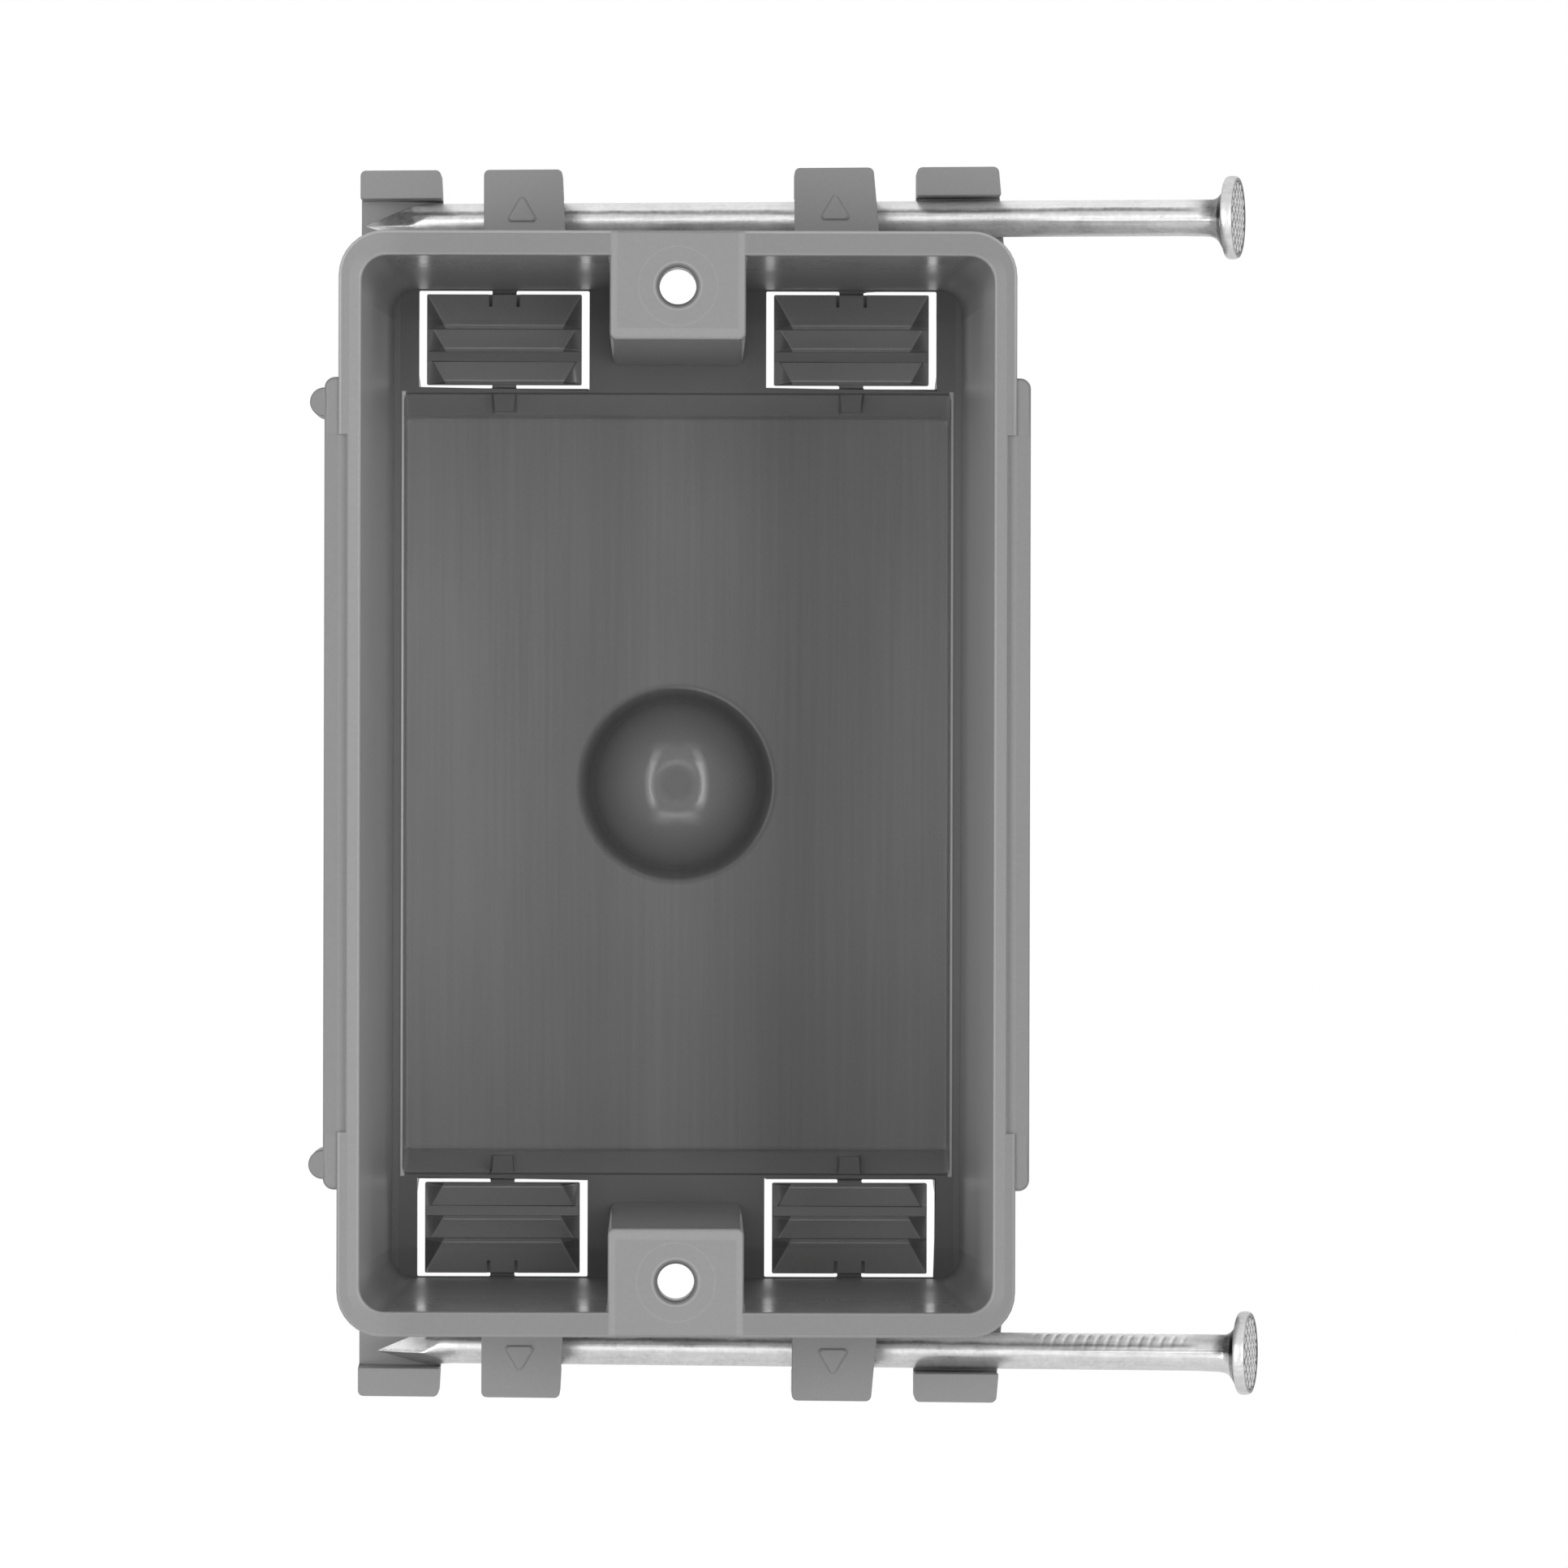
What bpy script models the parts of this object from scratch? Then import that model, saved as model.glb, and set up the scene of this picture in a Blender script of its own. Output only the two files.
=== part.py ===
"""New-work outlet box: one moulded single-gang box that is nailed to a wall stud, with its two nails.

Frame, in use on the stud: +Z up, the opening faces -Y, +X is the side where the nails are driven.
The origin is the middle of the stud face, the flat of the left-hand pad that lies on the stud.
Inside the functions, x and z are measured from the box's centre line and depth runs back from the rim.
All sizes are in millimetres, and a mesh is written in metres.
"""

import math

import bmesh
import bpy
from mathutils import Vector

MM = 0.001

# The rim and the walls behind it
RIM_WIDTH = 56.8
RIM_HEIGHT = 92.6
RIM_CORNER = 3.8
RIM_WALL = 1.95
RIM_WALL_ENDS = 2.12
EDGE = 0.3
SHOULDER_DEPTH = 60.0
SHOULDER_WALL = 1.8
SIDE_DRAFT = 1.6
END_DRAFT = 0.95
INNER_CORNER = 2.1

# The tub behind the shoulder
TUB_WIDTH = 47.9
TUB_DEPTH = 10.2
TUB_END_SLOPE = 2.1
TUB_WALL = 1.75
TUB_CORNER = 0.5
TUB_CHAMFER = 0.6
FLOOR_WALL = 1.8

# The raised gate mark in the middle of the tub's floor
DOME_FOOT_RADIUS = 8.9
DOME_STEEP_RADIUS = 7.6
DOME_OVAL_RADIUS = 8.2
DOME_OVAL_HEIGHT = 4.4
DOME_FLAT_RADIUS = 1.6
DIMPLE_RADIUS = 6.9
DOME_STEPS = 8
DOME_FOOT_STEPS = 5
DIMPLE_STEPS = 5

# The two bosses that take the device's screws, one at each end
SCREW_SPACING = 83.34
SCREW_HOLE = 3.1
SCREW_CHAMFER = 0.45
BOSS_WIDTH = 11.4
BOSS_BELOW_HOLE = 4.5
BOSS_DRAFT = 0.6
BOSS_CORNER = 0.6
BOSS_SOLID_DEPTH = 6.0
CHANNEL_WIDTH = 6.0
CHANNEL_FLOOR = 1.7
RIB_WIDTH = 2.75
RIB_PROUD = 0.1
RIB_START = 1.2

# The pads on both sides, which set the box off from the stud
PAD_REACH = 1.15
PAD_HEIGHT = 68.0
PAD_CORNER = 0.9
PAD_SET_BACK = 0.35
PAD_REAR_STEP = 0.6
PAD_FLANGE = 3.0
PAD_END_RIB = 3.9
PAD_RIB = 2.6
PAD_MIDDLE = 14.0
RIM_LIP = 1.15
STEP_HEIGHT = 58.4
STEP_CLEARANCE = 0.05
POCKET_CLEARANCE = 0.15

# The half-round stops that meet the stud's front edge, half an inch behind the rim
STOP_RADIUS = 1.22
STOP_HEIGHT = 31.9
STOP_DEPTH = 12.7
STOP_CHAMFER = 0.15

# The cable windows in the shoulder and the break-in flap in each
WINDOW_OFFSET = 15.18
WINDOW_WIDTH = 14.9
WINDOW_HEIGHT = 8.58
WINDOW_LIP = 0.35
WINDOW_END_GAP = 0.1
FLAP_SIDE_GAP = 0.68
FLAP_END_GAP = 0.33
FLAP_THICKNESS = 1.4
FLAP_SET_BACK = 0.2
TAB_WIDTH = 2.1
TAB_THICKNESS = 1.0
TAB_RUN = 1.7
TAB_TAPER = 0.15
FIRST_RIDGE_HEIGHT = 1.3
FINE_RIDGE_RAMP = 1.65
FINE_RIDGE_HEIGHT = 0.85
RIDGE_DROP = 0.28
RIDGE_VALLEYS = (0.06, 0.9)
SLIT_WIDTH = 0.3
SLIT_LENGTH = 1.1
SLIT_DEPTH = 0.6
RIDGE_TAPER = 1.6
RIDGE_MARGIN = 0.06
FINE_RIDGE_INSET = 0.5

# The nails and the ears that hold them
NAIL_LENGTH = 76.2
NAIL_DIAMETER = 3.1
NAIL_HEAD = 7.1
NAIL_HEAD_THICKNESS = 1.1
NAIL_NECK = 1.3
NAIL_POINT = 6.0
NAIL_POINT_STEPS = (0.025, 0.35, 0.7, 1.0, 1.45)
NAIL_NECK_STEP = 0.35
NAIL_NECK_FLARE = 1.3
NAIL_HEAD_UNDER = 0.86
NAIL_HEAD_FACE = 0.9
NAIL_HEAD_ROUND = 0.3
NAIL_TILT = math.radians(12.2)
NAIL_DEPTH = 29.2
NAIL_TIP_X = -26.9
NAIL_GAP = 0.3
LOWER_NAIL_SHIFT = 1.25
EAR_CAP = 2.45
EAR_WEB = 2.25
EAR_ROUND = 0.45
OUTER_EAR_X = 23.75
OUTER_EAR_WIDTH = 6.9
MIDDLE_EAR_X = 13.25
MIDDLE_EAR_WIDTH = 6.7
EAR_ROOT = 1.8
EAR_ROOT_AT_CORNER = 2.28
LEFT_EAR_FLARE = 0.3
RIGHT_EAR_FLARE = 0.55

# How finely the round shapes are divided
CORNER_STEPS = 8
FILLET_STEPS = 3
ROUND_STEPS = 4
HOLE_SIDES = 32
DOME_SIDES = 60
NAIL_SIDES = 24

# Worked out from the sizes above
HALF_WIDTH = RIM_WIDTH / 2
HALF_HEIGHT = RIM_HEIGHT / 2
PAD_X = HALF_WIDTH + PAD_REACH
BACK_DEPTH = SHOULDER_DEPTH + SHOULDER_WALL
FLOOR_DEPTH = SHOULDER_DEPTH + TUB_DEPTH
REAR_DEPTH = FLOOR_DEPTH + FLOOR_WALL
CAVITY_X = HALF_WIDTH - RIM_WALL
CAVITY_Z = HALF_HEIGHT - RIM_WALL_ENDS
SHOULDER_Z = CAVITY_Z - END_DRAFT
WINDOW_END_Z = SHOULDER_Z - WINDOW_END_GAP
WINDOW_START_Z = WINDOW_END_Z - WINDOW_HEIGHT
TUB_HALF_Z = WINDOW_START_Z - WINDOW_LIP
SCREW_Z = SCREW_SPACING / 2
BOSS_FACE_Z = SCREW_Z - BOSS_BELOW_HOLE
NAIL_Z = HALF_HEIGHT + NAIL_GAP + NAIL_DIAMETER / 2
PAD_MIDDLE_DEPTH = (PAD_FLANGE + BACK_DEPTH) / 2

# How far a cutter passes the surface it opens, and how deep a joined solid is sunk in its neighbour
PAST = 3.0
OVERLAP = 1.0
SUNK = 0.35


def build_mesh(name, points, faces):
    """A closed mesh from points in millimetres, as an object with its faces turned outwards."""
    shape = bmesh.new()
    corners = [shape.verts.new(Vector(point) * MM) for point in points]
    for face in faces:
        shape.faces.new([corners[index] for index in face])
    bmesh.ops.recalc_face_normals(shape, faces=shape.faces)
    mesh = bpy.data.meshes.new(name)
    shape.to_mesh(mesh)
    shape.free()
    solid = bpy.data.objects.new(name, mesh)
    bpy.context.scene.collection.objects.link(solid)
    return solid


def loft(name, rings):
    """A solid through rings of equal count, closed at both ends."""
    count = len(rings[0])
    points = [point for ring in rings for point in ring]
    faces = []
    for level in range(len(rings) - 1):
        low = level * count
        for step in range(count):
            after = (step + 1) % count
            faces.append((low + step, low + after, low + count + after, low + count + step))
    faces.append(tuple(range(count)))
    faces.append(tuple(range(len(points) - count, len(points))))
    return build_mesh(name, points, faces)


def rounded_ring(half_x, half_z, radius, depth, middle=(0.0, 0.0)):
    """A rounded rectangle across the box at one depth."""
    ring = []
    for quarter, (sign_x, sign_z) in enumerate(((1, 1), (-1, 1), (-1, -1), (1, -1))):
        for step in range(CORNER_STEPS + 1):
            angle = math.pi / 2 * (quarter + step / CORNER_STEPS)
            x = middle[0] + sign_x * (half_x - radius) + radius * math.cos(angle)
            z = middle[1] + sign_z * (half_z - radius) + radius * math.sin(angle)
            ring.append((x, depth, z))
    return ring


def block(name, x_range, depth_range, z_range):
    """A plain rectangular solid."""
    rings = [
        [(x_range[0], depth, z_range[0]), (x_range[1], depth, z_range[0]),
         (x_range[1], depth, z_range[1]), (x_range[0], depth, z_range[1])]
        for depth in depth_range
    ]
    return loft(name, rings)


def turned(name, profile, sides, centre_z=0.0):
    """A solid turned about a line along the depth, from (radius, depth) steps, flat at both ends."""
    rings = [
        [(radius * math.cos(2 * math.pi * side / sides), depth,
          centre_z + radius * math.sin(2 * math.pi * side / sides)) for side in range(sides)]
        for radius, depth in profile
    ]
    return loft(name, rings)


def joined(solids):
    """Separate solids gathered in the first one's mesh."""
    first = solids[0]
    shape = bmesh.new()
    for solid in solids:
        shape.from_mesh(solid.data)
    shape.to_mesh(first.data)
    shape.free()
    for solid in solids[1:]:
        bpy.data.objects.remove(solid)
    return first


def combine(target, tools, operation):
    """Join the tools to the target or cut them from it, and keep the result as its mesh."""
    tool = joined(tools)
    modifier = target.modifiers.new(operation.title(), "BOOLEAN")
    modifier.operation = operation
    modifier.object = tool
    graph = bpy.context.evaluated_depsgraph_get()
    result = bpy.data.meshes.new_from_object(target.evaluated_get(graph))
    target.modifiers.remove(modifier)
    target.data = result
    bpy.data.objects.remove(tool)


def unite(target, tools):
    combine(target, tools, "UNION")


def cut(target, tools):
    combine(target, tools, "DIFFERENCE")


def round_far_corners(solid, radius, far_z):
    """Round the two edges of a solid that run from front to back at its far end, z = far_z."""
    shape = bmesh.new()
    shape.from_mesh(solid.data)
    corners = []
    for edge in shape.edges:
        start, end = (corner.co for corner in edge.verts)
        at_end = all(abs(corner.z - far_z * MM) < SUNK * MM for corner in (start, end))
        if at_end and abs(end.y - start.y) > abs(end.x - start.x):
            corners.append(edge)
    bmesh.ops.bevel(
        shape, geom=corners, offset=radius * MM, segments=ROUND_STEPS, profile=0.5, affect="EDGES",
    )
    shape.to_mesh(solid.data)
    shape.free()
    return solid


def drafted(front, loss, depth):
    """A half size that shrinks evenly from the rim to the shoulder."""
    return front - loss * depth / SHOULDER_DEPTH


def nail_depth(x):
    """Depth of a nail's axis where it passes x."""
    return NAIL_DEPTH - math.tan(NAIL_TILT) * x


def fillet(depth, direction):
    """Steps of a quarter-round edge as (depth, inset); direction is 1 at a front edge, -1 at a rear one."""
    steps = []
    for step in range(FILLET_STEPS + 1):
        angle = math.pi / 2 * step / FILLET_STEPS
        steps.append((depth + direction * EDGE * (1 - math.cos(angle)), EDGE * (1 - math.sin(angle))))
    return steps if direction > 0 else steps[::-1]


def hull():
    """The outside of the box down to the shoulder, with a fine fillet at the front and the back."""
    rings = []
    for depth, inset in fillet(0.0, 1) + fillet(BACK_DEPTH, -1):
        half_x = drafted(HALF_WIDTH, SIDE_DRAFT, depth) - inset
        half_z = drafted(HALF_HEIGHT, END_DRAFT, depth) - inset
        rings.append(rounded_ring(half_x, half_z, RIM_CORNER - inset, depth))
    return loft("box_body", rings)


def pad_slab():
    """Both side pads as one slab through the box; the cavity empties its middle."""
    half_z = PAD_HEIGHT / 2
    rear = BACK_DEPTH - PAD_REAR_STEP
    rings = [
        rounded_ring(PAD_X - inset, half_z - inset, PAD_CORNER - inset, depth)
        for depth, inset in fillet(PAD_SET_BACK, 1) + [(rear, 0.0)]
    ]
    return loft("pads", rings)


def tub_outside():
    """The outside of the rear tub, from inside the shoulder plate to the back."""
    half_x = TUB_WIDTH / 2 + TUB_WALL
    half_z = TUB_HALF_Z + TUB_WALL
    corner = TUB_CORNER + TUB_WALL
    start = SHOULDER_DEPTH + SHOULDER_WALL / 2
    slope = TUB_END_SLOPE / 2
    rings = [
        rounded_ring(half_x, half_z, corner, start),
        rounded_ring(half_x, half_z - slope, corner, REAR_DEPTH - TUB_CHAMFER),
        rounded_ring(half_x - TUB_CHAMFER, half_z - slope - TUB_CHAMFER, corner - TUB_CHAMFER, REAR_DEPTH),
    ]
    return loft("tub_outside", rings)


def ear(name, middle_x, width, side, web_in_front):
    """One nail ear: a web beside the nail and a cap over it, sheared to follow the nail's slant.

    side is 1 at the top of the box and -1 at the bottom. The outer ears have their web behind the nail
    and the two middle ears have it in front, so that the nail is trapped between them. The side towards
    +X flares a little from the top down to the rim.
    """
    near = NAIL_DIAMETER / 2 + NAIL_GAP
    far = near + EAR_WEB
    under = NAIL_Z + near
    top = under + EAR_CAP
    outer_edge = middle_x + math.copysign(width / 2, middle_x)
    root = drafted(HALF_HEIGHT, END_DRAFT, BACK_DEPTH) - EAR_ROOT / 2
    if abs(outer_edge) > HALF_WIDTH - RIM_CORNER:
        root -= EAR_ROOT_AT_CORNER
    facing = -1.0 if web_in_front else 1.0
    flare = LEFT_EAR_FLARE if middle_x < 0 else RIGHT_EAR_FLARE
    outline = [(near, root), (far, root), (far, top), (-far, top), (-far, under), (near, under)]
    rings = []
    for edge, slope in ((middle_x - width / 2, 0.0), (middle_x + width / 2, flare / (top - HALF_HEIGHT))):
        rings.append([
            (edge + slope * (top - z), nail_depth(edge) + facing * offset, side * z) for offset, z in outline
        ])
    return round_far_corners(loft(name, rings), EAR_ROUND, side * top)


def ears(side):
    """The four ears at one end of the box."""
    made = []
    for sign in (-1, 1):
        made.append(ear("outer_ear", sign * OUTER_EAR_X, OUTER_EAR_WIDTH, side, False))
        made.append(ear("middle_ear", sign * MIDDLE_EAR_X, MIDDLE_EAR_WIDTH, side, True))
    return made


def end_ribs(side):
    """Two low ribs on an end wall, one on each side of the screw boss's channel."""
    made = []
    root = drafted(HALF_HEIGHT, END_DRAFT, BACK_DEPTH) - RIM_WALL_ENDS / 2
    outer = BOSS_WIDTH / 2
    for sign in (-1, 1):
        rings = []
        for depth in (RIB_START, SHOULDER_DEPTH):
            crest = drafted(HALF_HEIGHT, END_DRAFT / 2, depth) + RIB_PROUD
            rings.append([
                (sign * (outer - RIB_WIDTH), depth, side * root),
                (sign * outer, depth, side * root),
                (sign * outer, depth, side * (crest - EDGE)),
                (sign * (outer - EDGE), depth, side * crest),
                (sign * (outer - RIB_WIDTH + EDGE), depth, side * crest),
                (sign * (outer - RIB_WIDTH), depth, side * (crest - EDGE)),
            ])
        made.append(loft("end_rib", rings))
    return made


def stops():
    """The two half-round stops on the stud side."""
    made = []
    for side in (-1, 1):
        rings = []
        front = PAD_SET_BACK + STOP_CHAMFER
        for radius, depth in ((STOP_RADIUS - STOP_CHAMFER, front),
                              (STOP_RADIUS, front + STOP_CHAMFER), (STOP_RADIUS, STOP_DEPTH)):
            rings.append([
                (-PAD_X + radius * math.cos(2 * math.pi * step / HOLE_SIDES), depth,
                 side * STOP_HEIGHT + radius * math.sin(2 * math.pi * step / HOLE_SIDES))
                for step in range(HOLE_SIDES)
            ])
        made.append(loft("stop", rings))
    return made


def boss_block(side):
    """The space that a screw boss keeps out of the cavity, from the rim to the shoulder."""
    outer = HALF_HEIGHT + PAST
    rings = []
    for depth, inset in [(-PAST, EDGE)] + fillet(0.0, 1) + [(SHOULDER_DEPTH + PAST, 0.0)]:
        face = BOSS_FACE_Z + inset - BOSS_DRAFT * max(depth, 0.0) / SHOULDER_DEPTH
        rings.append(rounded_ring(BOSS_WIDTH / 2 - inset, (outer - face) / 2, BOSS_CORNER, depth,
                                  (0.0, side * (outer + face) / 2)))
    return loft("boss_block", rings)


def cavity():
    """The space inside the walls, with the two screw bosses left standing."""
    rings = []
    for depth, flare in [(-EDGE, 2 * EDGE)] + fillet(0.0, 1) + [(SHOULDER_DEPTH, 0.0)]:
        half_x = drafted(CAVITY_X, SIDE_DRAFT, depth) + flare
        half_z = drafted(CAVITY_Z, END_DRAFT, depth) + flare
        rings.append(rounded_ring(half_x, half_z, INNER_CORNER + flare, depth))
    space = loft("cavity", rings)
    cut(space, [boss_block(1), boss_block(-1)])
    return space


def tub_inside():
    """The space inside the tub: steep sides, sloped ends and a fine fillet round the floor."""
    rings = []
    for depth, inset in ((SHOULDER_DEPTH - OVERLAP, 0.0), (FLOOR_DEPTH - EDGE, 0.0), (FLOOR_DEPTH, EDGE)):
        slope = TUB_END_SLOPE * (depth - SHOULDER_DEPTH) / TUB_DEPTH
        rings.append(rounded_ring(TUB_WIDTH / 2 - inset, TUB_HALF_Z - slope - inset, TUB_CORNER, depth))
    return loft("tub_inside", rings)


def pad_pockets():
    """The pockets between the pads' ribs: open outwards and to the rear, so that the mould can draw."""
    half = PAD_HEIGHT / 2
    rib_middle = (half - PAD_END_RIB + PAD_MIDDLE / 2) / 2
    bands = [
        (PAD_MIDDLE / 2, rib_middle - PAD_RIB / 2),
        (rib_middle + PAD_RIB / 2, half - PAD_END_RIB),
    ]
    made = []
    rear = BACK_DEPTH + PAST
    for sign in (-1, 1):
        for side in (-1, 1):
            for low, high in bands:
                rings = []
                for depth in (PAD_FLANGE, rear):
                    floor = drafted(HALF_WIDTH, SIDE_DRAFT, depth) + POCKET_CLEARANCE
                    rings.append([
                        (sign * floor, depth, side * low), (sign * (PAD_X + PAST), depth, side * low),
                        (sign * (PAD_X + PAST), depth, side * high), (sign * floor, depth, side * high),
                    ])
                made.append(loft("pad_pocket", rings))
    return made


def rim_steps():
    """The pads' front faces lie a little behind the rim, which leaves a narrow lip inside them."""
    lip = CAVITY_X + RIM_LIP
    step = PAD_SET_BACK + STEP_CLEARANCE
    half = STEP_HEIGHT / 2
    return [
        block("rim_step", (sign * lip, sign * (PAD_X + PAST)), (-PAST, step), (-half, half))
        for sign in (-1, 1)
    ]


def dome_profile():
    """Steps of the dome as (radius, rise) from its foot: a hollow quarter round, then an oval, then a flat."""
    start = math.asin(DOME_STEEP_RADIUS / DOME_OVAL_RADIUS)
    end = math.asin(DOME_FLAT_RADIUS / DOME_OVAL_RADIUS)
    steepest = math.atan(DOME_OVAL_HEIGHT / DOME_OVAL_RADIUS * math.tan(start))
    hollow = (DOME_FOOT_RADIUS - DOME_STEEP_RADIUS) / math.sin(steepest)
    sunk = DOME_OVAL_HEIGHT * math.cos(start) - hollow * (1 - math.cos(steepest))
    steps = []
    for step in range(DOME_FOOT_STEPS):
        lean = steepest * step / DOME_FOOT_STEPS
        steps.append((DOME_FOOT_RADIUS - hollow * math.sin(lean), hollow * (1 - math.cos(lean))))
    for step in range(DOME_STEPS + 1):
        lean = start + (end - start) * step / DOME_STEPS
        steps.append((DOME_OVAL_RADIUS * math.sin(lean), DOME_OVAL_HEIGHT * math.cos(lean) - sunk))
    return steps


def dome():
    """The gate mark: a smooth dome on the tub's floor with a small flat on top."""
    profile = [(radius, FLOOR_DEPTH - rise) for radius, rise in dome_profile()]
    return turned("dome", [(DOME_FOOT_RADIUS, FLOOR_DEPTH + SUNK)] + profile, DOME_SIDES)


def dimple():
    """The hollow in the back behind the dome, which keeps the wall even."""
    floor = REAR_DEPTH - dome_profile()[-1][1]
    profile = [(DIMPLE_RADIUS, REAR_DEPTH + PAST), (DIMPLE_RADIUS, REAR_DEPTH - EDGE)]
    for step in range(1, DIMPLE_STEPS + 1):
        angle = math.pi / 2 * step / (DIMPLE_STEPS + 1)
        profile.append((DIMPLE_RADIUS * math.cos(angle), REAR_DEPTH - EDGE
                        - (REAR_DEPTH - EDGE - floor) * math.sin(angle)))
    return turned("dimple", profile, DOME_SIDES)


def channel(side):
    """The hollow behind a screw boss, open outwards and to the rear."""
    floor = BOSS_FACE_Z + CHANNEL_FLOOR
    outer = HALF_HEIGHT + PAST
    z_range = (side * floor, side * outer)
    return block("channel", (-CHANNEL_WIDTH / 2, CHANNEL_WIDTH / 2),
                 (BOSS_SOLID_DEPTH, BACK_DEPTH + PAST), z_range)


def screw_hole(side):
    """A countersunk hole through the boss's front."""
    radius = SCREW_HOLE / 2
    profile = [
        (radius + SCREW_CHAMFER + EDGE, -EDGE),
        (radius + SCREW_CHAMFER, 0.0),
        (radius, SCREW_CHAMFER),
        (radius, BOSS_SOLID_DEPTH + EDGE),
    ]
    return turned("screw_hole", profile, HOLE_SIDES, side * SCREW_Z)


def windows():
    """Four cable windows, cut straight through the shoulder and on to the back."""
    made = []
    for sign in (-1, 1):
        for side in (-1, 1):
            x_range = (sign * WINDOW_OFFSET - WINDOW_WIDTH / 2, sign * WINDOW_OFFSET + WINDOW_WIDTH / 2)
            made.append(block("window", x_range, (SHOULDER_DEPTH - EDGE, REAR_DEPTH + PAST),
                              (side * WINDOW_START_Z, side * WINDOW_END_Z)))
    return made


def ridge(middle_x, side, outer_z, ramp, height, half_outer, half_inner):
    """A saw-tooth ridge across a flap: it ramps up from its outer edge to a crest and drops off there."""
    face = SHOULDER_DEPTH + FLAP_SET_BACK
    crest_z = outer_z - ramp
    inner_z = crest_z - RIDGE_DROP
    crest_half = half_inner - RIDGE_TAPER
    foot = face + SUNK
    points = [
        (middle_x - half_outer, foot, side * outer_z), (middle_x + half_outer, foot, side * outer_z),
        (middle_x + half_inner, foot, side * inner_z), (middle_x - half_inner, foot, side * inner_z),
        (middle_x - half_outer, face, side * outer_z), (middle_x + half_outer, face, side * outer_z),
        (middle_x + half_inner, face, side * inner_z), (middle_x - half_inner, face, side * inner_z),
        (middle_x + crest_half, face - height, side * crest_z),
        (middle_x - crest_half, face - height, side * crest_z),
    ]
    faces = [
        (0, 1, 2, 3), (0, 1, 5, 4), (1, 2, 6, 5), (2, 3, 7, 6), (3, 0, 4, 7),
        (4, 5, 8, 9), (5, 6, 8), (6, 7, 9, 8), (7, 4, 9),
    ]
    return build_mesh("ridge", points, faces)


def flaps():
    """The four flaps: a plate on two thin tabs, with three saw-tooth ridges on its front."""
    half_x = WINDOW_WIDTH / 2 - FLAP_SIDE_GAP
    inner, outer = WINDOW_START_Z + FLAP_END_GAP, WINDOW_END_Z - FLAP_END_GAP
    fine_bands = sum(RIDGE_VALLEYS) + len(RIDGE_VALLEYS) * (FINE_RIDGE_RAMP + RIDGE_DROP)
    first_ramp = outer - inner - 2 * RIDGE_MARGIN - RIDGE_DROP - fine_bands
    face = SHOULDER_DEPTH + FLAP_SET_BACK
    tab_face = face + (FLAP_THICKNESS - TAB_THICKNESS) / 2
    plates, tabs, ridges, slits = [], [], [], []
    for sign in (-1, 1):
        for side in (-1, 1):
            middle = sign * WINDOW_OFFSET
            plates.append(block("flap", (middle - half_x, middle + half_x),
                                (face, face + FLAP_THICKNESS), (side * inner, side * outer)))
            tabs.append(block("outer_tab", (middle - TAB_WIDTH / 2, middle + TAB_WIDTH / 2),
                              (tab_face, tab_face + TAB_THICKNESS),
                              (side * (outer - SUNK), side * (SHOULDER_Z + SUNK))))
            foot = TUB_HALF_Z - TAB_RUN
            foot_depth = SHOULDER_DEPTH + TUB_DEPTH * TAB_RUN / TUB_END_SLOPE + SUNK
            tabs.append(loft("inner_tab", [
                [(middle - half, tab_face, side * z), (middle + half, tab_face, side * z),
                 (middle + half, back, side * z), (middle - half, back, side * z)]
                for half, back, z in (
                    (TAB_WIDTH / 2 - TAB_TAPER, foot_depth, foot),
                    (TAB_WIDTH / 2, tab_face + TAB_THICKNESS + SUNK, TUB_HALF_Z + WINDOW_LIP / 2),
                    (TAB_WIDTH / 2, tab_face + TAB_THICKNESS, inner + SUNK),
                )
            ]))
            wide = half_x - RIDGE_MARGIN
            top = outer - RIDGE_MARGIN
            ridges.append(ridge(middle, side, top, first_ramp, FIRST_RIDGE_HEIGHT, wide, wide))
            top -= first_ramp + RIDGE_DROP
            for valley in RIDGE_VALLEYS:
                top -= valley
                ridges.append(ridge(middle, side, top, FINE_RIDGE_RAMP, FINE_RIDGE_HEIGHT,
                                    wide - FINE_RIDGE_INSET, wide))
                top -= FINE_RIDGE_RAMP + RIDGE_DROP
            for edge in (-1, 1):
                slit_x = middle + edge * (TAB_WIDTH + SLIT_WIDTH) / 2
                slits.append(block("slit", (slit_x - SLIT_WIDTH / 2, slit_x + SLIT_WIDTH / 2),
                                   (face - FIRST_RIDGE_HEIGHT - PAST, face + SLIT_DEPTH),
                                   (side * (outer - SLIT_LENGTH), side * (outer + SUNK))))
    plate = joined(plates)
    unite(plate, tabs)
    unite(plate, ridges)
    cut(plate, slits)
    return plate


def box_body():
    """The moulded box in one piece."""
    body = hull()
    unite(body, [tub_outside()])
    unite(body, [pad_slab()])
    unite(body, ears(1) + ears(-1) + end_ribs(1) + end_ribs(-1) + stops())
    cut(body, [cavity()])
    cut(body, [tub_inside()])
    cut(body, pad_pockets() + rim_steps())
    unite(body, [dome()])
    cut(body, [channel(1), channel(-1)] + windows() + [dimple()])
    cut(body, [screw_hole(1), screw_hole(-1)])
    unite(body, [flaps()])
    return body


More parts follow.
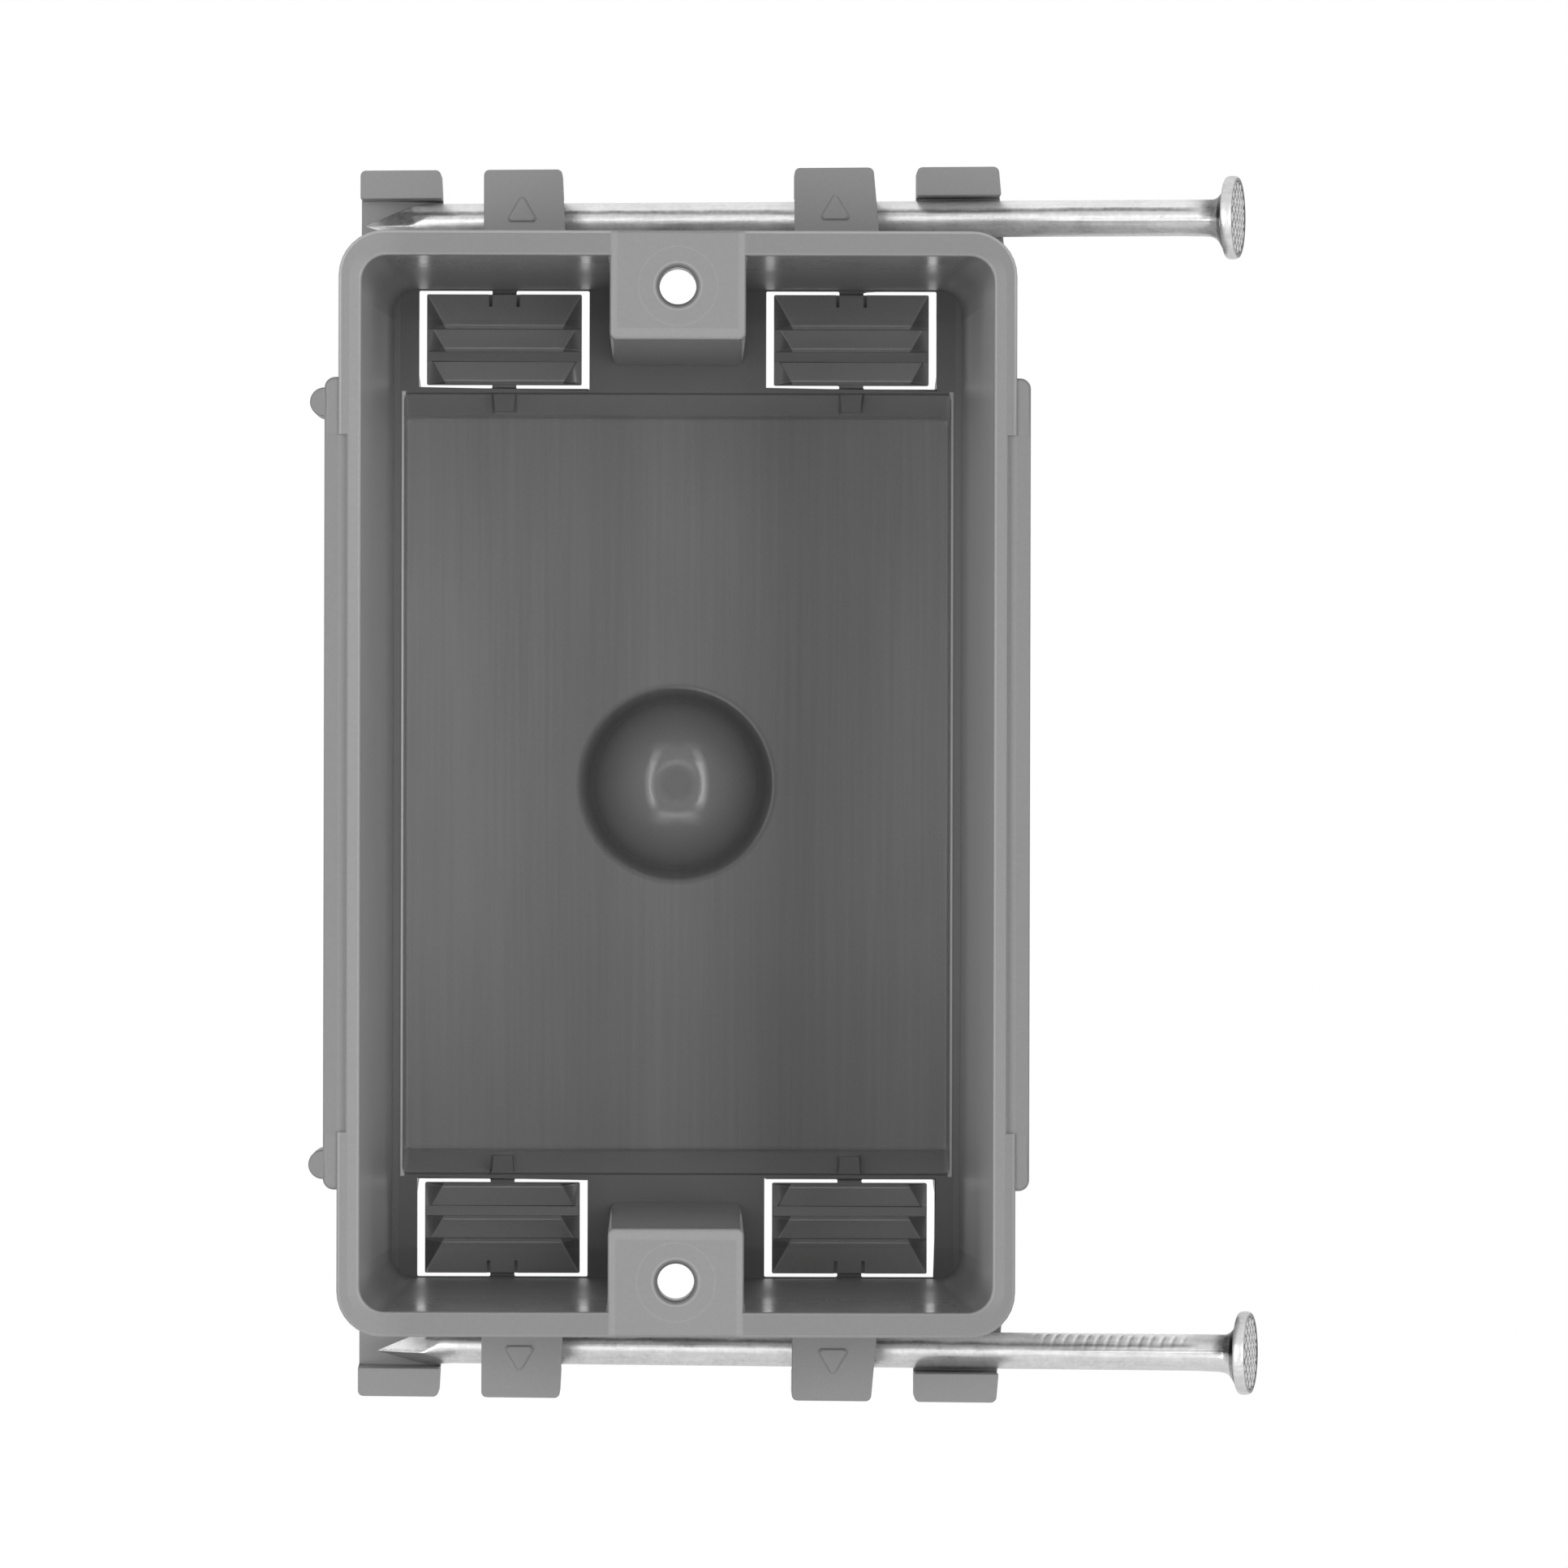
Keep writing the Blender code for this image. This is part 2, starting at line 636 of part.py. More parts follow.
def nail(name, side, shift):
    """A wire nail: a diamond point, a plain shaft, a flared neck and a flat round head."""
    radius = NAIL_DIAMETER / 2
    head = NAIL_HEAD / 2
    neck_end = NAIL_LENGTH - NAIL_HEAD_THICKNESS
    rounding = NAIL_HEAD_THICKNESS * NAIL_HEAD_ROUND
    stations = [(NAIL_POINT * share, radius, NAIL_POINT) for share in NAIL_POINT_STEPS]
    stations += [
        (neck_end - NAIL_NECK, radius, 0.0),
        (neck_end - NAIL_NECK * NAIL_NECK_STEP, radius * NAIL_NECK_FLARE, 0.0),
        (neck_end, head * NAIL_HEAD_UNDER, 0.0),
        (neck_end + rounding, head, 0.0),
        (NAIL_LENGTH - rounding, head, 0.0),
        (NAIL_LENGTH, head * NAIL_HEAD_FACE, 0.0),
    ]
    along = Vector((math.cos(NAIL_TILT), -math.sin(NAIL_TILT), 0.0))
    across = Vector((math.sin(NAIL_TILT), math.cos(NAIL_TILT), 0.0))
    up = Vector((0.0, 0.0, 1.0))
    tip_x = NAIL_TIP_X + shift
    tip = Vector((tip_x, nail_depth(tip_x), side * NAIL_Z))
    rings = []
    for reach, size, point in stations:
        ring = []
        for step in range(NAIL_SIDES):
            angle = 2 * math.pi * step / NAIL_SIDES
            spread = size
            if point:
                flat = size * reach / point
                spread = min(size, flat / max(abs(math.cos(angle)), abs(math.sin(angle))))
            ring.append(tip + along * reach + across * spread * math.cos(angle) + up * spread * math.sin(angle))
        rings.append(ring)
    return loft(name, rings)


def material(name, colour, roughness, metallic):
    finish = bpy.data.materials.new(name)
    finish.use_nodes = True
    surface = finish.node_tree.nodes["Principled BSDF"]
    surface.inputs["Base Color"].default_value = (*colour, 1.0)
    surface.inputs["Roughness"].default_value = roughness
    surface.inputs["Metallic"].default_value = metallic
    return finish


def finish(solid, look, frame):
    """Give a piece its material and smooth round faces, and hang it in the part's frame."""
    solid.data.materials.clear()
    solid.data.materials.append(look)
    solid.data.shade_smooth()
    solid.data.set_sharp_from_angle(angle=math.radians(30))
    solid.parent = frame


def main():
    for old in list(bpy.context.scene.objects):
        bpy.data.objects.remove(old)
    frame = bpy.data.objects.new("stud_face_frame", None)
    frame.location = (PAD_X * MM, -PAD_MIDDLE_DEPTH * MM, 0.0)
    bpy.context.scene.collection.objects.link(frame)
    plastic = material("grey_plastic", (0.29, 0.29, 0.285), 0.38, 0.0)
    zinc = material("zinc_steel", (0.66, 0.66, 0.65), 0.3, 1.0)
    finish(box_body(), plastic, frame)
    finish(nail("upper_nail", 1, 0.0), zinc, frame)
    finish(nail("lower_nail", -1, LOWER_NAIL_SHIFT), zinc, frame)


main()
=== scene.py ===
# %% [markdown]
# A new-work outlet box is a deep plastic box that an electrician nails to a wall stud before the wallboard
# goes up. It is one grey moulding, open at the front, with two wire nails trapped in ears above and below.
#
# The CAD already gives every size, so this notebook loads it as a fixed frame and only adds looks: rounded
# edges, real nails, raised marks, the tones and polish of each part of the moulding, lamps and a camera.
# Many of the tones on the plastic and the zinc are painted light, shade, highlights and reflections.

# %% Load the packed model
import math

import bmesh
import bpy
import numpy as np
from mathutils import Matrix, Vector
from mathutils.geometry import intersect_point_line


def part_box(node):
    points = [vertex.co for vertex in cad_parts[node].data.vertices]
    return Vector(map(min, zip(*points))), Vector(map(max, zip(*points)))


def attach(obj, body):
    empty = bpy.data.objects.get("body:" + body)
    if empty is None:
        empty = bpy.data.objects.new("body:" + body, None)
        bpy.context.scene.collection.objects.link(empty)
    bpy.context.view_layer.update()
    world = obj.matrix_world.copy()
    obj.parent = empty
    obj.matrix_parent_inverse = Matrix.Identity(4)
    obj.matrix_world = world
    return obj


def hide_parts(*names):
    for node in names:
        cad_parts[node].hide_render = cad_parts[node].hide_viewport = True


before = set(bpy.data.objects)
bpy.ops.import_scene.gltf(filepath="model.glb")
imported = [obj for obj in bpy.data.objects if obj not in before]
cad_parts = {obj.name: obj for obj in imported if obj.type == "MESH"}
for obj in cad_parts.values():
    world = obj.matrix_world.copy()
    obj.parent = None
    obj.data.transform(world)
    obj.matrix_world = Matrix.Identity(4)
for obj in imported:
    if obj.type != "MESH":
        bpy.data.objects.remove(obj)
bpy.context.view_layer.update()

MM = 0.001
body_low, body_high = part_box("box_body")
CENTRE_X = body_high[0] / 2
RIM_Y = body_low[1]
print("CAD nodes:", sorted(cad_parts), "box centre at x =", round(CENTRE_X / MM, 2), "mm")

# %% [markdown]
# The photograph looks straight into the box from far away: the walls run back almost, but not quite, along
# the line of sight. A long lens at 1.3 m gives that view. The box stands left of the middle of the picture
# although the camera is right in front of it, so the lens is shifted sideways rather than turned.

# %% Camera
PICTURE_PIXELS = 1932
BOX_PIXEL_X = 834
FIELD = 131.12 * MM
DISTANCE = 1300 * MM
ROLL = math.radians(0.13)

lens = bpy.data.cameras.new("camera")
lens.sensor_width = 36.0
lens.lens = lens.sensor_width * DISTANCE / FIELD
lens.shift_x = 0.5 - BOX_PIXEL_X / PICTURE_PIXELS
lens.clip_start = 0.05
lens.clip_end = 50.0
camera = bpy.data.objects.new("camera", lens)
camera.matrix_world = (
    Matrix.Translation((CENTRE_X, RIM_Y - DISTANCE, 0.0))
    @ Matrix.Rotation(math.radians(90), 4, "X")
    @ Matrix.Rotation(ROLL, 4, "Z")
)
bpy.context.scene.collection.objects.link(camera)
bpy.context.scene.camera = camera
bpy.context.scene.view_settings.view_transform = "Standard"
print("lens", round(lens.lens, 1), "mm, shift", round(lens.shift_x, 4))

# %% [markdown]
# Shader maths is easier to read as Python. The first class wraps one output socket, and its operators add
# Math nodes. The second class wraps a node tree and adds any other node: settings first, then the values or
# links of its sockets.

# %% Sockets that can be added and multiplied
class Sock:
    """One output of a node, with arithmetic: an expression adds the Math nodes that work it out."""

    def __init__(self, tree, socket):
        self.tree = tree
        self.socket = socket

    def __add__(self, other):
        return self.tree.math("ADD", self, other)

    def __sub__(self, other):
        return self.tree.math("SUBTRACT", self, other)

    def __rsub__(self, other):
        return self.tree.math("SUBTRACT", other, self)

    def __mul__(self, other):
        return self.tree.math("MULTIPLY", self, other)

    __radd__ = __add__
    __rmul__ = __mul__

    def __abs__(self):
        return self.tree.math("ABSOLUTE", self)


class Tree:
    """A node tree and one method, node, that adds any node to it. The others are short ways to call it."""

    def __init__(self, nodes_of):
        nodes_of.use_nodes = True
        self.nodes = nodes_of.node_tree.nodes
        self.links = nodes_of.node_tree.links
        self.nodes.clear()

    def plug(self, value, socket):
        """Link an output to a socket, or write a plain value on it."""
        if isinstance(value, Sock):
            self.links.new(value.socket, socket)
        else:
            socket.default_value = value

    def node(self, kind, settings=None, inputs=None, out=0):
        """Add a node with its settings, then its inputs, and return one of its outputs."""
        made = self.nodes.new("ShaderNode" + kind)
        for name, value in (settings or {}).items():
            setattr(made, name, value)
        for name, value in (inputs or {}).items():
            self.plug(value, made.inputs[name])
        return Sock(self, made.outputs[out]) if made.outputs else made

    def math(self, operation, *values):
        """A Math node on one or two values."""
        return self.node("Math", {"operation": operation}, dict(enumerate(values)))

    def split(self, vector):
        """The three numbers of a vector."""
        parts = self.nodes.new("ShaderNodeSeparateXYZ")
        self.plug(vector, parts.inputs[0])
        return [Sock(self, part) for part in parts.outputs]

    def length(self, one, other):
        """Length of a flat vector: the root of the sum of both squares."""
        return self.math("SQRT", one * one + other * other)

    def step(self, value, low, high):
        """0 below low and 1 above high, with a smooth climb between them; low may be the larger one."""
        return self.node("MapRange", {"interpolation_type": "SMOOTHSTEP"},
                         {"Value": value, "From Min": low, "From Max": high})

    def noise(self, place, scale, detail=2.0, roughness=0.5):
        """Noise around 0, from about -0.5 to 0.5; scale is in waves to the metre along each axis."""
        moved = self.node("Mapping", {"vector_type": "POINT"}, {"Vector": place, "Scale": scale})
        return self.node("TexNoise", {"noise_dimensions": "3D"},
                         {"Vector": moved, "Scale": 1.0, "Detail": detail, "Roughness": roughness}) - 0.5

    def grey(self, value):
        """The same number in red, green and blue."""
        return self.node("CombineColor", inputs={"Red": value, "Green": value, "Blue": value})


def add_up(base, parts):
    """The base plus each mask or pattern times its amount."""
    for part, amount in parts:
        base = base + amount * part
    return base


print("tree methods:", [name for name in vars(Tree) if not name.startswith("_")])

# %% [markdown]
# The photograph shows the box on pure white. Here the background is white only where a camera, mirror or
# glass ray meets it, so it shows as paper does without flooding the plastic with light. For all other rays
# the world is a weak fill, and the floor is pale paper.

# %% World and floor
FILL = 0.40
FLOOR_DROP = 0.45
FLOOR_HALF = 4.0


def seen_directly(tree):
    """1 for rays that show the background: from the camera, from gloss and through glass."""
    path = tree.nodes.new("ShaderNodeLightPath")
    seen = Sock(tree, path.outputs["Is Camera Ray"])
    for name in ("Is Glossy Ray", "Is Transmission Ray"):
        seen = tree.math("MAXIMUM", seen, Sock(tree, path.outputs[name]))
    return seen


world = bpy.data.worlds.new("white_studio")
bpy.context.scene.world = world
sky = Tree(world)
strength = FILL + (1.0 - FILL) * seen_directly(sky)
backdrop = sky.node("Background", inputs={"Color": (1.0, 1.0, 1.0, 1.0), "Strength": strength})
sky.node("OutputWorld", inputs={"Surface": backdrop})

paper = bpy.data.materials.new("white_paper")
sheet = Tree(paper)
pale = sheet.node("BsdfDiffuse", inputs={"Color": (0.8, 0.8, 0.8, 1.0)})
white = sheet.node("Emission", inputs={"Color": (1.0, 1.0, 1.0, 1.0), "Strength": 1.0})
shown = sheet.node("MixShader", inputs={0: seen_directly(sheet), 1: pale, 2: white})
sheet.node("OutputMaterial", inputs={"Surface": shown})

floor_mesh = bpy.data.meshes.new("floor")
floor_z = body_low[2] - FLOOR_DROP
floor_corners = [(x * FLOOR_HALF, y * FLOOR_HALF, floor_z) for x, y in ((-1, -1), (1, -1), (1, 1), (-1, 1))]
floor_mesh.from_pydata(floor_corners, [], [(0, 1, 2, 3)])
floor_mesh.materials.append(paper)
floor = bpy.data.objects.new("floor", floor_mesh)
bpy.context.scene.collection.objects.link(floor)
print("floor at z =", round(floor_z, 3))

# %% [markdown]
# Each lamp is a rectangle of light aimed at the middle of the box. Azimuth 0 is in front, where the camera
# is, and a positive angle goes round to the right. Two narrow strips near the camera reach down to the
# tub's floor, and two softboxes further round light the walls. A weak lamp in front fills the faces that
# look at the camera, and a low strip below lights the edges that point down.
#
# How the real studio was lit isn't known. The box was rendered with each of about ten lamps alone, and a
# fit looked for powers whose sum came near the photograph's brightness at about fifty spots. Six lamps are
# kept, and some have other powers than it gave. Other lamps with other tones on the plastic could come just
# as near.

# %% Lamps
def softbox(name, azimuth, elevation, distance, width, height, power):
    """A rectangular area lamp on a sphere round the box, facing its middle."""
    turn, lift = math.radians(azimuth), math.radians(elevation)
    away = Vector((math.sin(turn) * math.cos(lift), -math.cos(turn) * math.cos(lift), math.sin(lift)))
    lamp = bpy.data.lights.new(name, "AREA")
    lamp.shape = "RECTANGLE"
    lamp.size = width
    lamp.size_y = height
    lamp.energy = power
    holder = bpy.data.objects.new(name, lamp)
    holder.location = Vector((CENTRE_X, 0.0, 0.0)) + away * distance
    holder.rotation_euler = away.to_track_quat("Z", "Y").to_euler()
    holder.visible_camera = False
    bpy.context.scene.collection.objects.link(holder)
    return holder


# Name, azimuth and elevation in degrees, distance, width and height in metres, power in watts
lamps = [
    softbox("right_strip", 18, 0, 1.9, 0.28, 1.15, 4.3),
    softbox("left_strip", -18, 0, 1.9, 0.10, 1.15, 1.7),
    softbox("right_softbox", 41, 0, 1.7, 0.5, 0.9, 6.4),
    softbox("left_softbox", -41, 0, 1.7, 0.5, 0.9, 9.4),
    softbox("front_softbox", 0, 8, 2.4, 0.6, 0.4, 0.9),
    softbox("low_strip", 0, -24, 1.0, 0.5, 0.07, 0.3),
]
print(len(lamps), "lamps,", round(sum(lamp.data.energy for lamp in lamps), 1), "W")

# %% [markdown]
# The plastic is a mid-grey moulding compound. Its front faces look matt, and the inside is glossy enough to
# mirror the bright gaps round the flaps, as it would be if only the core of the mould was polished. The box
# could be cut into pieces with a material each, but it is one moulding and its finishes run into each
# other. So it gets one material, which works out from the place of a point what part of the box that is.
#
# A mask is a number that is 1 on a part and 0 off it, with a soft step between. All masks read the Object
# coordinates in metres, so the finish stays fixed to the box from any side. The box is alike left and
# right and above and below, so most of them read the distance from its middle. A pair of lengths in the
# next cells is a step: the first is where the mask is still 0, and the second where it has reached 1.

# %% Where a point of the moulding lies
SOFT = 0.15 * MM

# This material holds the plastic's own grey and much painted light and shade.
plastic = bpy.data.materials.new("grey_plastic_with_painted_light")
mould = Tree(plastic)
place = mould.node("TexCoord", out="Object")
across, depth, height = mould.split(place)
off_centre = abs(across - CENTRE_X)
off_middle = abs(height)
from_middle = mould.length(off_centre, off_middle)


def stripe(distance, reach, core):
    """A soft line along distance 0: 1 nearer to it than core, and 0 further off than reach."""
    return mould.step(abs(distance), reach, core)


def outside(half_x, half_z, radius):
    """Distance outside a rounded rectangle round the box's middle, below 0 inside it."""
    past_x = mould.math("MAXIMUM", off_centre - (half_x - radius), 0.0)
    past_z = mould.math("MAXIMUM", off_middle - (half_z - radius), 0.0)
    return mould.length(past_x, past_z) - radius


print("coordinates:", len(mould.nodes), "nodes")

# %% [markdown]
# The front faces are matt and lie square to the camera, so what draws them is their fine edges, which
# catch the light as pale lines: round the rim, along the screw bosses and round the screw holes. Real
# roundings that fine would hardly show at this size, so these lines are painted highlights, stripes of a
# paler tone, brightest on the rim's outer edge along the top. Inside each hole's pale edge lies painted
# shade. A wider strip along the rim's inner edge is a little paler. The left part of the rim and the ears
# get painted light, paler than the lamps here make them. A faint circle round each hole, which may be the
# mark of a sleeve in the mould, is drawn as a painted highlight.

# %% Rim, screw bosses and ears
RIM_SKIN = 0.35 * MM
RIM_INNER = (26.58 * MM, 44.31 * MM, 2.2 * MM)
RIM_OUTER = (28.28 * MM, 46.18 * MM, 3.7 * MM)
INNER_LINE = (0.14 * MM, 0.042 * MM)
OUTER_LINE = (0.168 * MM, 0.042 * MM)
STRIP_WIDTH_X = (0.95 * MM, 0.88 * MM)
STRIP_END_Z = (44.6 * MM, 42.6 * MM)
LEFT_OF_X = (CENTRE_X - 22 * MM, CENTRE_X - 26 * MM)
UPPER_Z = (24.2 * MM, 46.6 * MM)
BOSS_HALF_X = 5.6 * MM
BOSS_INNER_Z = 37.2 * MM
BOSS_SIDE_X = (4.95 * MM, 5.21 * MM)
BOSS_END_Z = (38.24 * MM, 37.98 * MM)
SCREW_Z = 83.34 / 2 * MM
HOLE_RADIUS = 2.0 * MM
HOLE_LINE = (0.112 * MM, 0.021 * MM)
HOLE_SHADE = (1.93 * MM, 1.79 * MM)
SLEEVE_RADIUS = 3.31 * MM
SLEEVE_LINE = (0.098 * MM, 0.014 * MM)
EAR_START_Z = 46.6 * MM

behind_rim = mould.step(depth, RIM_Y + RIM_SKIN - SOFT, RIM_Y + RIM_SKIN + SOFT)
on_boss = ((1 - behind_rim) * mould.step(off_centre, BOSS_HALF_X + SOFT, BOSS_HALF_X - SOFT)
           * mould.step(off_middle, BOSS_INNER_Z - SOFT, BOSS_INNER_Z + SOFT))
boss_edge_highlight = on_boss * mould.math(
    "MAXIMUM", mould.step(off_centre, *BOSS_SIDE_X), mould.step(off_middle, *BOSS_END_Z))
from_hole = mould.length(off_centre, off_middle - SCREW_Z)
hole_edge_highlight = on_boss * stripe(from_hole - HOLE_RADIUS, *HOLE_LINE)
hole_shade = on_boss * mould.step(from_hole, *HOLE_SHADE)
sleeve_circle_highlight = on_boss * stripe(from_hole - SLEEVE_RADIUS, *SLEEVE_LINE)
on_ears = mould.step(off_middle, EAR_START_Z, EAR_START_Z + SOFT)

on_rim = (1 - behind_rim) * (1 - on_boss) * (1 - on_ears)
past_inner = outside(*RIM_INNER)
inner_edge_highlight = on_rim * stripe(past_inner, *INNER_LINE)
inner_strip = on_rim * mould.step(past_inner, *STRIP_WIDTH_X) * mould.step(off_middle, *STRIP_END_Z)
left_rim_painted_light = on_rim * mould.step(across, *LEFT_OF_X)
outer_edge_highlight = on_rim * stripe(outside(*RIM_OUTER), *OUTER_LINE)
upper_edge_highlight = outer_edge_highlight * mould.step(height, *UPPER_Z)
print("front masks:", len(mould.nodes), "nodes so far")

# %% [markdown]
# The hollow is painted paler than the lamps of this scene light it, a painted light, and its side walls
# and the tub's sloping ends more so. The back of the walls, the corners and the shoulder, the ledge where
# the box narrows to its tub, are painted darker, a painted shade. The edges along the tub's sides are
# painted highlights, bright lines, weaker on the right. These masks must not reach the outside of the same
# walls, so all of them start from one mask of the hollow itself, which narrows behind the shoulder as the
# tub does.

# %% Hollow, walls, shoulder and tub
INSIDE_HALF_X = 26.6 * MM
INSIDE_HALF_Z = 44.4 * MM
SHOULDER_Y = RIM_Y + 60 * MM
SHOULDER_BACK_Y = SHOULDER_Y + 1.6 * MM
BACK_Y = RIM_Y + 71.5 * MM
TUB_SLOPE = 0.206
TUB_WALL_X = 24.8 * MM
TUB_WALL_Z = 35.3 * MM
WALL_START_X = 24.2 * MM
WALL_END_Z = 44.0 * MM
CORNER_START_X = 23.2 * MM
CORNER_START_Z = 40.5 * MM
BACK_OF_WALL_Y = (RIM_Y + 44 * MM, RIM_Y + 52 * MM)
BACK_OF_END_Y = (RIM_Y + 4 * MM, RIM_Y + 44 * MM)
SLOPE_FROM_Y = (SHOULDER_Y + 5 * SOFT, SHOULDER_Y + 6 * SOFT)
SLOPE_START_Z = 31.9 * MM
TUB_END_Z = 34.4 * MM
TUB_EDGE_X = 23.95 * MM
TUB_EDGE_Y = (SHOULDER_Y + 1.0 * MM, SHOULDER_Y + 0.8 * MM)
TUB_EDGE_LINE = (0.224 * MM, 0.112 * MM)

between_walls = (mould.step(off_centre, INSIDE_HALF_X + SOFT, INSIDE_HALF_X)
                 * mould.step(off_middle, INSIDE_HALF_Z + SOFT, INSIDE_HALF_Z))
behind_shoulder = mould.step(depth, SHOULDER_BACK_Y, SHOULDER_BACK_Y + SOFT)
in_tub = (mould.step(off_centre, TUB_WALL_X + SOFT, TUB_WALL_X)
          * mould.step(off_middle + TUB_SLOPE * (depth - SHOULDER_Y), TUB_WALL_Z + SOFT, TUB_WALL_Z))
inside = (between_walls * behind_rim * mould.step(depth, BACK_Y, BACK_Y - SOFT)
          * (1 - behind_shoulder * (1 - in_tub)))

on_walls = (inside * mould.step(off_centre, WALL_START_X, WALL_START_X + SOFT)
            * mould.step(off_middle, WALL_END_Z, CORNER_START_Z))
in_corner = (inside * mould.step(off_centre, CORNER_START_X, WALL_START_X + SOFT)
             * mould.step(off_middle, CORNER_START_Z, WALL_END_Z)
             * mould.step(depth, SHOULDER_Y - SOFT, SHOULDER_Y - 2 * SOFT))
back_of_wall_shade = on_walls * mould.step(depth, *BACK_OF_WALL_Y)
back_of_end = (inside * mould.step(off_middle, CORNER_START_Z, CORNER_START_Z + SOFT)
               * mould.step(depth, *BACK_OF_END_Y))
on_slope = (inside * mould.step(depth, *SLOPE_FROM_Y)
            * mould.step(off_middle, SLOPE_START_Z, SLOPE_START_Z + SOFT)
            * mould.step(off_middle, TUB_END_Z + SOFT, TUB_END_Z))
tub_edge_highlight = (inside * stripe(off_centre - TUB_EDGE_X, *TUB_EDGE_LINE)
            * mould.step(off_middle, TUB_END_Z, TUB_END_Z - SOFT) * mould.step(depth, *TUB_EDGE_Y))
right_tub_edge_highlight = tub_edge_highlight * mould.step(across, CENTRE_X - SOFT, CENTRE_X + SOFT)
print("masks of the hollow:", len(mould.nodes), "nodes so far")

# %% [markdown]
# Each window is closed by a flap that a cable pushes in. It carries three ridges. The flap is painted
# darker, a painted shade, and each ridge's ramp, which looks at the camera, is painted much lighter, a
# painted light; the slanting ends of the ramp are painted a little lighter than the dark valley after it.
# Two thin tabs hold it, and the inner one runs on as a dark patch of painted shade on the tub's slope. The
# shoulder round the flaps is painted shade too. A table holds the ridges: where the ramp starts down the
# flap, how long it is, where the ridge ends, and how far its ends stand in at the start, in millimetres.
# Half of a ridge's width is then a straight line down the flap.

# %% Flaps, tabs and shoulder
WINDOW_X = 15.18 * MM
FLAP_HALF_X = 6.7 * MM
FLAP_OUTER_Z = 42.74 * MM
FLAP_INNER_Z = 34.9 * MM
FLAP_START_Y = (SHOULDER_Y - 1.8 * MM, SHOULDER_Y - 1.5 * MM)
FLAP_SIDE_X = (FLAP_HALF_X + 3 * SOFT, FLAP_HALF_X + 2 * SOFT)
FLAP_FOOT_Z = (FLAP_INNER_Z - 2 * SOFT, FLAP_INNER_Z - SOFT)
FLAP_TOP = (-3 * SOFT, -2 * SOFT)
SHOULDER_FRONT_Y = (SHOULDER_Y - SOFT, SHOULDER_Y - 0.5 * SOFT)
SHOULDER_PAST_Y = (SHOULDER_Y + 5 * SOFT, SHOULDER_Y + 4 * SOFT)
TAB_HALF_X = 1.08 * MM
TAB_START_Z = 32.7 * MM
RIDGE_TAPER = 1.6 * MM
RIDGES = ((0.0, 2.98, 3.04, 0.0), (3.04, 1.93, 5.87, 0.5), (5.87, 1.93, 8.0, 0.5))
CRISP = 0.2 * SOFT

from_window = abs(off_centre - WINDOW_X)
down_flap = FLAP_OUTER_Z - off_middle
on_flap = (inside * mould.step(depth, *FLAP_START_Y) * mould.step(from_window, *FLAP_SIDE_X)
           * mould.step(off_middle, *FLAP_FOOT_Z) * mould.step(down_flap, *FLAP_TOP))
on_shoulder = ((inside - on_flap) * mould.step(depth, *SHOULDER_FRONT_Y)
               * mould.step(depth, *SHOULDER_PAST_Y))
tab_painted_shade = (on_slope * mould.step(from_window, TAB_HALF_X + SOFT, TAB_HALF_X - SOFT)
          * mould.step(off_middle, TAB_START_Z - SOFT, TAB_START_Z + SOFT))

ridge_half = FLAP_HALF_X
ramps = 0.0
for start, ramp, end, inset in RIDGES:
    narrowed = mould.node("MapRange", inputs={
        "Value": down_flap, "From Min": start * MM, "From Max": (start + ramp) * MM,
        "To Min": inset * MM, "To Max": RIDGE_TAPER})
    begun = mould.step(down_flap, start * MM - CRISP, start * MM)
    ridge_half = ridge_half - begun * mould.step(down_flap, end * MM, end * MM - CRISP) * narrowed
    ramps = ramps + begun * mould.step(down_flap, (start + ramp) * MM, (start + ramp) * MM - 1.5 * CRISP)
ramp_end = on_flap * ramps * mould.step(from_window, ridge_half - 0.5 * SOFT, ridge_half + 0.5 * SOFT)
ramps_painted_light = on_flap * ramps - ramp_end
print("with the flaps:", len(mould.nodes), "nodes so far")

# %% [markdown]
# A low dome stands up from the middle of the tub's floor. The lamps of this scene don't give the
# reflections and shade that a real one shows, so they are painted as part of its colour: two upright curves
# and a short bar below them are painted reflections, a bright line at the upper right of the foot is a
# painted highlight, and the flank darkening towards the foot and a darker spot in the middle are painted
# shade. That has a price: they stay where they are when the view or the light changes, and as the masks
# reach through the thin shell, the curves and the spot also show in the hollow behind it. The tub's floor
# is painted darker, with painted light towards its sides.

# %% Tub floor and dome
TUB_FLOOR_Y = RIM_Y + 69.6 * MM
FLOOR_FADE = 1.5 * MM
FLOOR_LEFT_X = (CENTRE_X - 3 * MM, CENTRE_X - 24 * MM)
FLOOR_RIGHT_X = (CENTRE_X + 10 * MM, CENTRE_X + 21 * MM)
DOME_FOOT = (9.0 * MM, 8.7 * MM)
DOME_BEFORE_Y = (TUB_FLOOR_Y + 0.9 * MM, TUB_FLOOR_Y + 0.4 * MM)
DOME_SHADE = (2.5 * MM, 7.4 * MM)
CURVE_X = 2.4 * MM
CURVE_BEND = 0.085 / MM
CURVE_LINE = (0.6 * MM, 0.1 * MM)
CURVE_TOP_Z = (3.4 * MM, 2.4 * MM)
CURVE_FOOT_Z = (-2.7 * MM, -1.4 * MM)
BAR_Z = -3.0 * MM
BAR_HALF_X = (2.3 * MM, 1.5 * MM)
SPOT_RADIUS = (1.9 * MM, 1.0 * MM)
FOOT_LINE_RADIUS = 8.5 * MM
FOOT_LINE = (0.16 * MM, 0.05 * MM)
FOOT_LINE_SLANT = 0.5
FOOT_LINE_SIDE = (CENTRE_X + 2 * MM, CENTRE_X + 7 * MM)

on_floor = inside * mould.step(depth, TUB_FLOOR_Y - FLOOR_FADE, TUB_FLOOR_Y)
floor_left_painted_light = on_floor * mould.step(across, *FLOOR_LEFT_X)
floor_right_painted_light = on_floor * mould.step(across, *FLOOR_RIGHT_X)

